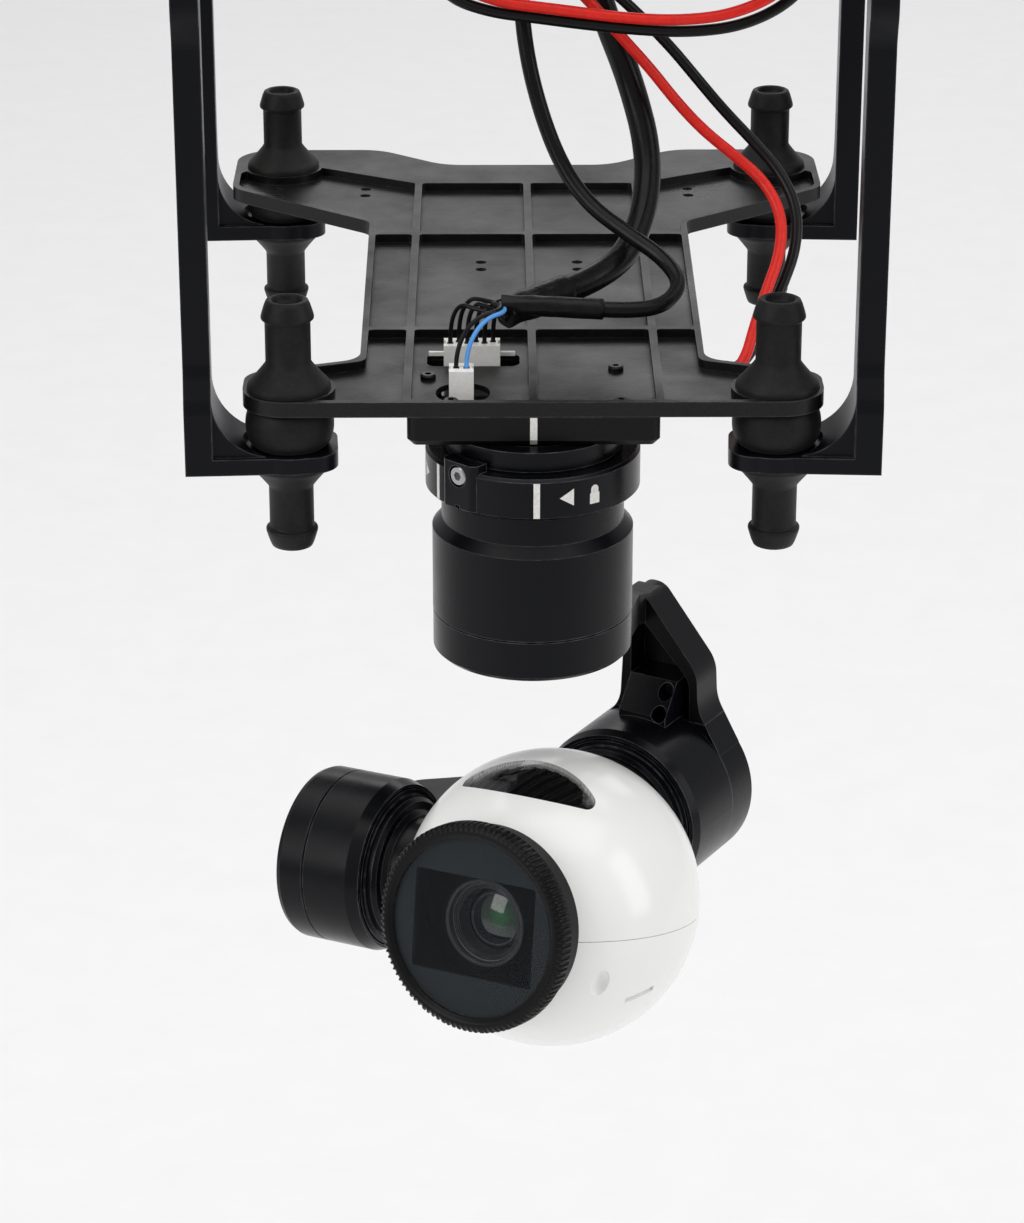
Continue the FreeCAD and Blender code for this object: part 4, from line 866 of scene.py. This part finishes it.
# ---------------------------------------------------------------- cables
@dataclass
class CableLoom:
    """Cables from the plate's connectors up to the housing under the bridge."""

    end: float = -0.0133
    routes: dict[str, list[Point]] = field(default_factory=dict)
    radii: dict[str, float] = field(default_factory=lambda: {
        "signal_cable": 0.00275, "control_cable": 0.0016, "power_cable_red": 0.00115,
        "power_cable_black": 0.00115})
    sleeves: dict[str, float] = field(default_factory=lambda: {
        "signal_cable": 0.0162, "control_cable": 0.0205})
    sleeve_wall: float = 0.0005
    sleeve_steps: int = 22
    wire_radius: float = 0.00045
    signal_wires: int = 6
    signal_pitch: float = 0.0017
    control_pitch: float = 0.002
    signal_stand: float = 0.0019
    control_stand: float = 0.0029
    plate_top: float = -0.1001
    yaw_y: float = -0.0703

    def __post_init__(self) -> None:
        """Fills in the routes."""
        end = self.end
        self.routes = {
            "signal_cable": [(0.0070, -0.0515, -0.0882), (0.0164, -0.0442, -0.0870),
                (0.0226, -0.0340, -0.0800), (0.0242, -0.0236, -0.0686),
                (0.0204, -0.0166, -0.0550), (0.0148, -0.0146, -0.0414),
                (0.0110, -0.0156, -0.0280), (0.0110, -0.0160, end)],
            "control_cable": [(0.0140, -0.0620, -0.0888), (0.0210, -0.0620, -0.0892),
                (0.0270, -0.0590, -0.0884), (0.0296, -0.0535, -0.0860),
                (0.0260, -0.0480, -0.0826), (0.0190, -0.0435, -0.0790),
                (0.0115, -0.0380, -0.0748), (0.0060, -0.0330, -0.0680),
                (0.0020, -0.0290, -0.0585), (-0.0009, -0.0260, -0.0475),
                (-0.0022, -0.0215, -0.0360), (-0.0016, -0.0185, -0.0240),
                (-0.0014, -0.0180, end)],
            "power_cable_red": [(0.0320, -0.0575, -0.1062), (0.0380, -0.0575, -0.1062),
                (0.0426, -0.0538, -0.1024), (0.0446, -0.0490, -0.0968),
                (0.0472, -0.0444, -0.0908), (0.0502, -0.0392, -0.0844),
                (0.0506, -0.0340, -0.0782), (0.0474, -0.0296, -0.0726),
                (0.0416, -0.0264, -0.0682), (0.0350, -0.0242, -0.0634),
                (0.0292, -0.0228, -0.0574), (0.0242, -0.0226, -0.0510),
                (0.0184, -0.0232, -0.0444), (0.0122, -0.0244, -0.0372),
                (0.0060, -0.0260, -0.0304), (-0.0008, -0.0276, -0.0248),
                (-0.0086, -0.0290, -0.0224), (-0.0156, -0.0306, -0.0252),
                (-0.0138, -0.0328, -0.0318), (-0.0060, -0.0334, -0.0346),
                (0.0020, -0.0332, -0.0356), (0.0100, -0.0328, -0.0368),
                (0.0190, -0.0324, -0.0380), (0.0290, -0.0320, -0.0386),
                (0.0390, -0.0312, -0.0378), (0.0480, -0.0296, -0.0346),
                (0.0532, -0.0272, -0.0298), (0.0555, -0.0234, -0.0246),
                (0.0556, -0.0211, -0.0190), (0.0556, -0.0211, end)],
            "power_cable_black": [(0.0320, -0.0535, -0.1062), (0.0370, -0.0535, -0.1062),
                (0.0430, -0.0508, -0.1038), (0.0466, -0.0458, -0.0980),
                (0.0506, -0.0410, -0.0910), (0.0536, -0.0364, -0.0842),
                (0.0538, -0.0314, -0.0772), (0.0504, -0.0268, -0.0710),
                (0.0450, -0.0234, -0.0656), (0.0390, -0.0210, -0.0598),
                (0.0334, -0.0194, -0.0534), (0.0284, -0.0192, -0.0474),
                (0.0226, -0.0202, -0.0412), (0.0164, -0.0220, -0.0350),
                (0.0094, -0.0242, -0.0288), (0.0014, -0.0262, -0.0236),
                (-0.0072, -0.0280, -0.0204), (-0.0160, -0.0294, -0.0208),
                (-0.0208, -0.0308, -0.0270), (-0.0168, -0.0318, -0.0338),
                (-0.0086, -0.0326, -0.0366), (0.0004, -0.0326, -0.0378),
                (0.0100, -0.0322, -0.0392), (0.0200, -0.0318, -0.0404),
                (0.0310, -0.0312, -0.0412), (0.0420, -0.0302, -0.0402),
                (0.0514, -0.0278, -0.0362), (0.0570, -0.0236, -0.0304),
                (0.0576, -0.0184, -0.0246), (0.0556, -0.0143, -0.0198), (0.0556, -0.0142, end)],
        }

    def build(self) -> None:
        """Builds the cables, their sleeves and the fine wires."""
        dressing = {
            "signal_cable": (Finishes.SHEATH, "sheath_black", "medium"),
            "control_cable": (Finishes.SHEATH, "sheath_black", "limp"),
            "power_cable_red": (Finishes.RED, "silicone_red", "limp"),
            "power_cable_black": (Finishes.WIRE_BLACK, "silicone_black", "limp"),
        }
        for name, (finish, slot, stiffness) in dressing.items():
            points, radius = self.routes[name], self.radii[name]
            obj = strand(f"{name}_run", points, radius, finish, Body.PLATE)
            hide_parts(name)
            self.length(obj)
        self.build_sleeves()
        self.build_wires()

    @staticmethod
    def length(obj: bpy.types.Object) -> float:
        """Length of a strand's own line, read from its smooth curve."""
        curve = obj.data.copy()
        curve.bevel_depth = 0.0
        probe = bpy.data.objects.new("probe", curve)
        mesh = bpy.data.meshes.new_from_object(probe)
        total = sum((mesh.vertices[e.vertices[0]].co - mesh.vertices[e.vertices[1]].co).length
                    for e in mesh.edges)
        bpy.data.objects.remove(probe)
        bpy.data.meshes.remove(mesh)
        bpy.data.curves.remove(curve)
        return total

    def sleeve_start(self, cable: str) -> tuple[Vector, Vector]:
        """Start of a cable's sleeve and the direction it runs in."""
        first, second = (Vector(p) for p in self.routes[cable][:2])
        along = (second - first).normalized()
        return first - along * self.sleeves[cable], along

    def build_sleeves(self) -> None:
        """Builds the shrunk sleeves, puckered where they grip the wires."""
        made = []
        for cable, reach in self.sleeves.items():
            start, along = self.sleeve_start(cable)
            outer = (self.radii[cable] + self.sleeve_wall) / MM
            length = reach / MM
            profile = [(0.0, 0.25), (outer * 0.74, 0.2)]
            for i in range(self.sleeve_steps + 1):
                share = i / self.sleeve_steps
                waist = 1.0 - 0.10 * math.exp(-((share - 0.16) / 0.09) ** 2)
                profile.append((outer * waist, 0.25 + share * (length - 0.5)))
            profile += [(outer - 0.35, length), (0.0, length)]

            def pucker(index: int, angle: float, size: float = outer) -> float:
                """Folds of the shrunk skin, deepest at the wires' end."""
                fade = math.exp(-((index - 3) / 7.0) ** 2)
                return -size * (0.05 * fade * (1 + math.cos(5 * angle + 0.4 * index))
                                + 0.012 * (1 + math.sin(3 * angle + 0.9 * index)))

            bm = lathe(profile, 48, pucker)
            bm.transform(Matrix.Translation(start)
                         @ along.to_track_quat("Z", "Y").to_matrix().to_4x4())
            made.append(bm)
        sleeves = piece("shrunk_sleeves", joined(made), Finishes.SHRINK,
                        Body.PLATE, sharp=70.0)
        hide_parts("cable_sleeves")

    def build_wires(self) -> None:
        """Builds the fine wires between the connectors and the sleeves."""
        start, _ = self.sleeve_start("signal_cable")
        top = self.plate_top + self.signal_stand
        for i in range(self.signal_wires):
            x, y = -0.0163 + self.signal_pitch * i, self.yaw_y + 0.0156 + 0.0009 * (i % 2)
            end = start + Vector((0.6, 1.9 - 0.76 * i, 1.2 * ((2 * i) % 3) - 1.1)) * MM
            points = [(x, y, top), (x, y, top + 0.0046 + 0.0004 * (i % 3)),
                      (x + 0.002, y - 0.0002, top + 0.0084 + 0.0005 * (i % 2)),
                      (x + 0.0052 - i * 0.0011, (y + end.y) / 2, end.z + 0.0004), tuple(end)]
            wire = strand(f"signal_wire_{i + 1}", points, self.wire_radius,
                          Finishes.WIRE_BLACK, Body.PLATE)
            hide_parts("signal_wires")
        start, _ = self.sleeve_start("control_cable")
        top = self.plate_top + self.control_stand
        colours = ((Finishes.WIRE_BLACK, "sheath_black", "black"),
                   (Finishes.BLUE, "wire_blue", "blue"))
        for i, (finish, slot, colour) in enumerate(colours):
            x, y = -0.015 + self.control_pitch * i, self.yaw_y - 0.002
            end = start + Vector((-0.02, 1.4 * i - 0.7, 0.3 - 0.6 * i)) * MM
            points = [(x, y, top), (x, y, top + 0.0039),
                      (x + 0.0034, y + 0.0026, end.z - 0.0006 + 0.0004 * i),
                      (-0.0054 + 0.001 * i, (y + end.y) / 2 + 0.0016, end.z), tuple(end)]
            wire = strand(f"control_wire_{colour}", points, self.wire_radius, finish,
                          Body.PLATE)
            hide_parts("control_wires")


# ---------------------------------------------------------------- hanger and plate
@dataclass
class HangerFrame:
    """Brackets, bridge and the housing that the cables end in."""

    cable_ends: dict[str, tuple[float, float, float, float]] = field(
        default_factory=lambda: {"signal_cable": (11.0, -16.0, 2.75, 1.0),
                                 "control_cable": (-1.4, -18.0, 1.6, 0.8),
                                 "power_cable_red": (55.6, -21.1, 1.15, 0.6),
                                 "power_cable_black": (55.6, -14.2, 1.15, 0.6)})

    def dress(self, frame: dict) -> None:
        """Gives the hanger's pieces their finishes."""
        dress(frame, Finishes.BRACKET, "left_hanger_bracket", "right_hanger_bracket",
              "cable_bridge")
        dress(frame, Finishes.BLOCK, "junction_block")
        dress(frame, Finishes.STEEL, "bridge_screws")

    def build(self) -> None:
        """Adds the cable grommets under the housing."""
        low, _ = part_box("junction_block")
        grommets = []
        for x, y, radius, rim in self.cable_ends.values():
            outer = radius + rim
            bm = closed_lathe(rounded([(radius + 0.06, 0.0), (outer, 0.0), (outer, -0.9),
                                       (outer - 0.35, -1.5), (radius + 0.06, -1.7)], 1), 48)
            bm.transform(Matrix.Translation((x * MM, y * MM, low[2] - 0.00002)))
            grommets.append(bm)
        piece("cable_grommets", joined(grommets), Finishes.RUBBER, Body.HANGER)


@dataclass
class RubberDampers:
    """Four barbed rubber balls between the hanger's feet and the plate."""

    names: tuple[str, ...] = ("front_left_damper", "front_right_damper", "rear_left_damper",
                              "rear_right_damper")
    ball: float = 8.75
    gap: float = 8.5
    neck: float = 4.45
    cone: float = 8.25
    cone_height: float = 4.8
    pinch: float = 6.75
    barb: float = 5.2
    tip: float = 4.0
    bore: float = 2.95
    bore_depth: float = 1.5
    plate: float = 3.1
    foot: float = 3.3

    def outline(self, low: float, high: float) -> list[tuple[float, float]]:
        """Outline of one damper from its lowest point to the bottom of its bore.

        Args:
            low: height of the lower tip.
            high: height of the upper tip.

        Returns:
            (radius, height) points in millimetres.
        """
        reach = (high - low - self.gap - self.plate - self.foot) / 2
        foot_low = low + reach
        foot_top = foot_low + self.foot
        plate_low = foot_top + self.gap
        plate_top = plate_low + self.plate
        middle = (foot_top + plate_low) / 2
        tip = rounded([(0.0, low), (self.tip - 0.3, low), (self.tip + 0.2, low + 0.25),
                       (self.barb - 0.1, low + 3.0), (self.barb, low + 3.6),
                       (self.barb - 0.15, low + 3.95), (self.neck + 0.1, low + 4.15),
                       (self.neck, low + 4.6)], 1)
        low_cone = rounded([(self.neck, foot_low - self.cone_height - 0.6),
                            (self.neck + 0.3, foot_low - self.cone_height),
                            (self.cone - 1.2, foot_low - 2.0), (self.cone - 0.1, foot_low - 1.0),
                            (self.cone, foot_low - 0.02)], 2)
        ball = []
        for i in range(25):
            height = foot_top + 0.05 + (self.gap - 0.1) * i / 24
            share = (height - middle) / (self.gap / 2)
            ball.append((self.pinch + (self.ball - self.pinch - 0.02)
                         * math.sqrt(max(0.0, 1 - share ** 2)), height))
        high_cone = rounded([(self.cone, plate_top + 0.02), (self.cone - 0.1, plate_top + 1.0),
                             (self.cone - 1.2, plate_top + 2.0),
                             (self.neck + 0.3, plate_top + self.cone_height),
                             (self.neck, plate_top + self.cone_height + 0.6)], 2)
        top = rounded([(self.neck, high - 4.6), (self.neck + 0.1, high - 4.15),
                       (self.barb - 0.15, high - 3.95), (self.barb, high - 3.6),
                       (self.barb - 0.1, high - 3.0), (self.tip + 0.25, high - 0.3),
                       (self.tip - 0.3, high), (self.bore + 0.35, high),
                       (self.bore, high - 0.3), (self.bore - 0.3, high - self.bore_depth + 0.2),
                       (self.bore - 0.9, high - self.bore_depth),
                       (0.0, high - self.bore_depth)], 1)
        seats = [(self.neck, foot_low + 0.02), (self.neck, foot_top - 0.02)]
        sockets = [(self.neck, plate_low + 0.02), (self.neck, plate_top - 0.02)]
        return [*tip, *low_cone, *seats, *ball, *sockets, *high_cone, *top]

    def build(self) -> None:
        """Builds the four dampers."""
        for number, node in enumerate(self.names):
            low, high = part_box(node)
            x, y = axis_of(node)
            outline = self.outline(low[2] / MM, high[2] / MM)

            def give(index: int, angle: float, phase: float = 1.7 * number) -> float:
                """Slight unevenness of the moulding."""
                return -0.035 * (1 + math.sin(2 * angle + phase + 0.05 * index))

            obj = piece(f"{node}_rubber", lathe(outline, 72, give), Finishes.RUBBER,
                        place=Matrix.Translation((x * MM, y * MM, 0)),
                        sharp=50.0)
            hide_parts(node)
            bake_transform(obj)


@dataclass
class MountPlate:
    """Ribbed plate with its moulded block, connectors and circuit board."""

    mark_width: float = 1.4
    bevel: float = 1.2
    wire_holes: tuple[tuple[float, float, float], ...] = (
        (-16.3, -54.7, -98.2), (-14.6, -53.8, -98.2), (-12.9, -54.7, -98.2),
        (-11.2, -53.8, -98.2), (-9.5, -54.7, -98.2), (-7.8, -53.8, -98.2),
        (-15.0, -72.3, -97.2), (-13.0, -72.3, -97.2))

    def dress(self, frame: dict) -> None:
        """Gives the plate's pieces their finishes."""
        dress(frame, Finishes.PLATE, "damper_plate")
        dress(frame, Finishes.BLOCK, "mount_block", "power_connector")
        dress(frame, Finishes.BOARD, "connector_board")
        dress(frame, Finishes.CONNECTOR, "signal_connector", "control_connector")
        dress(frame, Finishes.BLACK_SCREW, "block_screws")
        dress(frame, Finishes.METAL, "bayonet_collar")

    def build(self) -> None:
        """Adds the index mark, dark squares painted as the shade in the wire holes, and the
        board's parts.
        """
        low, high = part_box("mount_block")
        front, bottom, top = low[1] / MM - 0.012, low[2] / MM, high[2] / MM - 0.1
        half = self.mark_width / 2
        outline = [(-half, bottom), (half, bottom), (half, top), (-half, top)]

        def over_edge(x: float, z: float) -> Point:
            """Place on the block's front face, and on the bevel below it."""
            return (x, front + max(0.0, bottom + self.bevel - z), z)

        piece("block_index_mark", printed(outline, over_edge, 0.3), Finishes.PRINT,
              Body.PLATE)
        # Dark squares painted as the shade in the holes where the wires enter the connectors.
        hole_shades = []
        for x, y, z in self.wire_holes:
            hole_shades.append(block((x - 0.62, y - 0.62, z - 0.1), (x + 0.62, y + 0.62, z + 0.03),
                               0.04))
        piece("wire_hole_shade", joined(hole_shades), Finishes.BEZEL, Body.PLATE)
        self.build_board_parts()

    def build_board_parts(self) -> None:
        """Adds small parts on the connector board."""
        low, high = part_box("connector_board")
        x0, y0, z = low[0] / MM, low[1] / MM, high[2] / MM
        chips, caps = [], []
        for column in range(5):
            for row in range(3):
                x = x0 + 17.0 + 3.4 * column + 0.3 * ((row * 7 + column * 3) % 3)
                y = y0 + 4.0 + 6.2 * row
                width, depth = (2.0, 1.2) if (row + column) % 3 else (2.6, 2.6)
                target = caps if (row + column) % 2 else chips
                target.append(block((x, y, z + 0.005), (x + width, y + depth, z + 0.7), 0.08))
        piece("board_chips", joined(chips), Finishes.BEZEL, Body.PLATE)
        piece("board_capacitors", joined(caps), Finishes.PIN, Body.PLATE)


@dataclass
class LockCollar:
    """Quick-release ring round the collar, with its clamp lug and printed marks."""

    lift: float = 0.012
    line: tuple[float, float, float, float] = (-0.1, 1.15, 0.65, 7.85)
    side_line: tuple[float, float, float, float] = (-23.1, -22.1, 0.65, 7.85)
    arrow: float = 6.6
    far_arrow: float = -28.6
    padlock: float = 12.5

    def dress(self, frame: dict) -> None:
        """Gives the ring and its screw their finishes."""
        dress(frame, Finishes.METAL, "lock_ring")
        dress(frame, Finishes.STEEL, "clamp_screw")

    def build(self) -> None:
        """Prints the marks on the ring."""
        low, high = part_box("yaw_motor_housing")
        self.x, self.y = (low[0] + high[0]) / 2 / MM, (low[1] + high[1]) / 2 / MM
        ring_low, ring_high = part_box("lock_ring")
        self.bottom = ring_low[2] / MM
        self.radius = (ring_high[0] - ring_low[0]) / 2 / MM + self.lift
        marks = []
        for left, right, foot, head in (self.line, self.side_line):
            marks.append(printed([(left, foot), (right, foot), (right, head), (left, head)],
                                 self.wrap))
        for a, way in ((self.arrow, 1), (self.far_arrow, -1)):
            marks.append(printed([(a - 1.6 * way, 4.6), (a + 1.3 * way, 2.85),
                                  (a + 1.3 * way, 6.35)], self.wrap))
        marks += self.padlock_marks()
        piece("ring_marks", joined(marks), Finishes.PRINT, Body.LOCK_RING)

    def wrap(self, along: float, height: float) -> Point:
        """Place on the ring for a distance round it from the front, and a height up it."""
        angle = along / self.radius
        return (self.x + self.radius * math.sin(angle),
                self.y - self.radius * math.cos(angle), self.bottom + height)

    def padlock_marks(self) -> list[bmesh.types.BMesh]:
        """Body and shackle of the closed padlock mark."""
        c, waist, crown = self.padlock, 4.7, 5.45
        body = printed([(c - 1.1, 2.5), (c + 1.1, 2.5), (c + 1.1, waist), (c - 1.1, waist)],
                       self.wrap)
        arc = [(math.cos(math.pi * i / 12), crown + 0.88 * math.sin(math.pi * i / 12),
                crown + 0.46 * math.sin(math.pi * i / 12)) for i in range(13)]
        outer = [(c + 0.86 * x, top) for x, top, _ in arc]
        inner = [(c + 0.46 * x, low) for x, _, low in arc]
        shackle = [(c + 0.86, waist), *outer, (c - 0.86, waist), (c - 0.46, waist),
                   *inner[::-1], (c + 0.46, waist)]
        return [body, printed(shackle, self.wrap, 0.3)]


# ---------------------------------------------------------------- motors and arms
@dataclass
class MotorsAndArms:
    """Three motors and the two arms between them."""

    cups: tuple[str, ...] = ("yaw_motor_housing", "yaw_rotor_cap", "roll_motor_housing",
                             "roll_motor_cap", "roll_rotor", "pitch_motor_housing",
                             "pitch_motor_cap", "pitch_rotor")
    arms: tuple[str, ...] = ("yaw_arm_frame", "roll_arm")

    def dress(self, frame: dict) -> None:
        """Gives the motors' and arms' pieces their finishes."""
        dress(frame, Finishes.METAL, *self.cups)
        dress(frame, Finishes.ARM, *self.arms)
        dress(frame, Finishes.BLACK_SCREW, "arm_screws")
        for motor in ("yaw", "roll", "pitch"):
            dress(frame, Finishes.WINDING, f"{motor}_stator")
            dress(frame, Finishes.STEEL, f"{motor}_bearings", f"{motor}_shaft")
            dress(frame, Finishes.MAGNET, f"{motor}_magnet_ring")


# ---------------------------------------------------------------- camera ball
@dataclass
class CameraBall:
    """White ball with the vent and the lens group, in its own frame at the ball's centre."""

    yaw: float = -30.65
    roll: float = -3.5
    pitch: float = 12.0
    yaw_y: float = -70.3
    axis_z: float = -210.5
    ball_x: float = 7.1
    ball_y: float = -4.3
    lens_front: float = 32.9
    ring_height: float = 4.2
    ring_radius: float = 21.3
    glass_radius: float = 18.2
    notches: int = 104
    notch_depth: float = 0.42
    barrel_radius: float = 9.1
    element_radius: float = 6.36
    element_curve: float = 15.0
    element_steps: int = 24

    def frame_at_rest(self) -> Matrix:
        """Matrix from the ball's own frame, looking along -Y, to the gimbal's at rest."""
        def shift(x: float, y: float, z: float) -> Matrix:
            """Shift in millimetres."""
            return Matrix.Translation((x * MM, y * MM, z * MM))

        def turn(degrees: float, axis: str) -> Matrix:
            """Turn about an axis."""
            return Matrix.Rotation(math.radians(degrees), 4, axis)

        return (shift(0, self.yaw_y, 0) @ turn(self.yaw, "Z") @ shift(0, 0, self.axis_z)
                @ turn(self.roll, "Y") @ shift(self.ball_x, self.ball_y, 0)
                @ turn(-self.pitch, "X"))

    def lens_frame(self) -> Matrix:
        """Matrix from a turned piece's frame, whose +Z looks out of the lens."""
        return self.frame_at_rest() @ Matrix.Rotation(math.pi / 2, 4, "X")

    def dress(self, frame: dict) -> None:
        """Gives the ball's pieces their finishes."""
        dress(frame, Finishes.SHELL, "camera_upper_shell", "camera_lower_shell")
        dress(frame, Finishes.SMOKED, "vent_window")
        dress(frame, Finishes.SINK, "heat_sink")
        dress(frame, Finishes.BEZEL, "lens_bezel")
        dress(frame, Finishes.MASK, "lens_mask")
        dress(frame, Finishes.BOARD, "camera_board")

    def build(self) -> None:
        """Builds the ring, the barrel and the lens elements."""
        self.build_ring()
        self.build_glass()
        self.build_barrel()
        self.build_elements()

    def build_ring(self) -> None:
        """Builds the knurled filter ring."""
        back = self.lens_front - self.ring_height
        front, outer, bore = self.lens_front, self.ring_radius, self.glass_radius
        profile = [(bore, back), (outer - 0.9, back), (outer - 0.35, back + 0.25),
                   (outer, back + 0.6), (outer, back + 1.0), (outer, back + 1.6),
                   (outer, front - 1.35), (outer - 0.12, front - 0.95),
                   (outer - 0.45, front - 0.5), (outer - 0.95, front - 0.14),
                   (outer - 1.45, front), (outer - 1.75, front), (bore + 1.0, front),
                   (bore + 0.7, front - 0.1), (bore + 0.25, front - 0.45),
                   (bore, front - 0.6)]
        depth = {4: 0.5, 5: 1.0, 6: 1.0, 7: 1.0, 8: 1.0, 9: 0.8, 10: 0.35}

        def knurl(index: int, angle: float) -> float:
            """Depth of the notches round the rim."""
            share = depth.get(index, 0.0)
            if not share:
                return 0.0
            wave = (angle * self.notches / (2 * math.pi)) % 1.0
            return -self.notch_depth * share * (1.0 if wave < 0.45 else 0.0)

        bm = closed_lathe(profile, self.notches * 5, knurl)
        ring = piece("knurled_filter_ring", bm, Finishes.RING, Body.CAMERA,
                     self.lens_frame(), sharp=24.0)
        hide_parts("filter_ring")

    def build_glass(self) -> None:
        """Builds the filter glass, a little thinner than its seat, with ground edges."""
        front, radius = self.lens_front - 0.6, self.glass_radius - 0.02
        profile = [(0.0, front - 0.85), (radius - 0.15, front - 0.85), (radius, front - 0.7),
                   (radius, front - 0.18), (radius - 0.15, front - 0.03), (0.0, front - 0.03)]
        glass = piece("filter_glass_disc", lathe(profile, 128), Finishes.GLASS,
                      Body.CAMERA, self.lens_frame(), sharp=30.0)
        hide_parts("filter_glass")

    def build_barrel(self) -> None:
        """Builds the lens barrel with its stepped baffle."""
        r = self.barrel_radius
        profile = [(r, 9.0), (r, 26.7), (r - 0.12, 26.92), (r - 0.3, 27.0), (r - 0.72, 27.0),
                   (r - 0.86, 26.9), (r - 0.95, 26.6), (r - 1.15, 25.8)]
        for step in range(4):
            profile += [(r - 1.35 - 0.32 * step, 25.75 - 0.16 * step),
                        (r - 1.40 - 0.32 * step, 25.45 - 0.16 * step)]
        profile += [(6.75, 24.6), (6.62, 23.7), (6.45, 23.2), (6.4, 22.4), (6.4, 14.0),
                    (5.0, 14.0), (5.0, 9.0)]
        barrel = piece("stepped_lens_barrel", closed_lathe(profile, 144), Finishes.BARREL,
                       Body.CAMERA, self.lens_frame(), sharp=20.0)
        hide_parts("lens_barrel")

    def build_elements(self) -> None:
        """Builds the coated front element and the retaining ring round it."""
        frame = self.lens_frame()
        rim, back, bend = self.element_radius, 19.8, self.element_curve
        dome = [(0.0, back), (6.32, back), (rim, back + 0.4)]
        for i in range(self.element_steps + 1):
            radius = rim * (1 - i / self.element_steps)
            dome.append((radius, 8.4 + math.sqrt(bend ** 2 - radius ** 2)))
        centre = frame @ Vector((1.5 * MM, 1.0 * MM, 22.6 * MM))
        axis = (frame.to_3x3() @ Vector((0, 0, 1))).normalized()
        coating = CoatedLensFinish("lens_coating_painted_reflection", tuple(centre), tuple(axis), 0.0064)
        front = piece("front_lens_element", lathe(dome, 96), coating, Body.CAMERA,
                      frame, sharp=50.0)
        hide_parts("lens_elements")
        stop = [(5.15, 22.6), (5.35, 22.62), (5.62, 22.46), (5.62, 22.3), (5.15, 22.44)]
        piece("lens_stop_ring", closed_lathe(stop, 96), Finishes.BARREL,
              Body.CAMERA, frame)


# ---------------------------------------------------------------- whole gimbal
def main() -> None:
    """Builds the studio and every sub-assembly in order."""
    logging.basicConfig(level=logging.INFO, format="%(name)s %(message)s")
    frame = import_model()
    Studio().build()
    CableLoom().build()
    for assembly in (HangerFrame(), MountPlate(), LockCollar(), MotorsAndArms(), CameraBall()):
        LOG.info("assembly %s", type(assembly).__name__)
        assembly.dress(frame)
        if hasattr(assembly, "build"):
            assembly.build()
    RubberDampers().build()


if __name__ == "__main__":
    main()
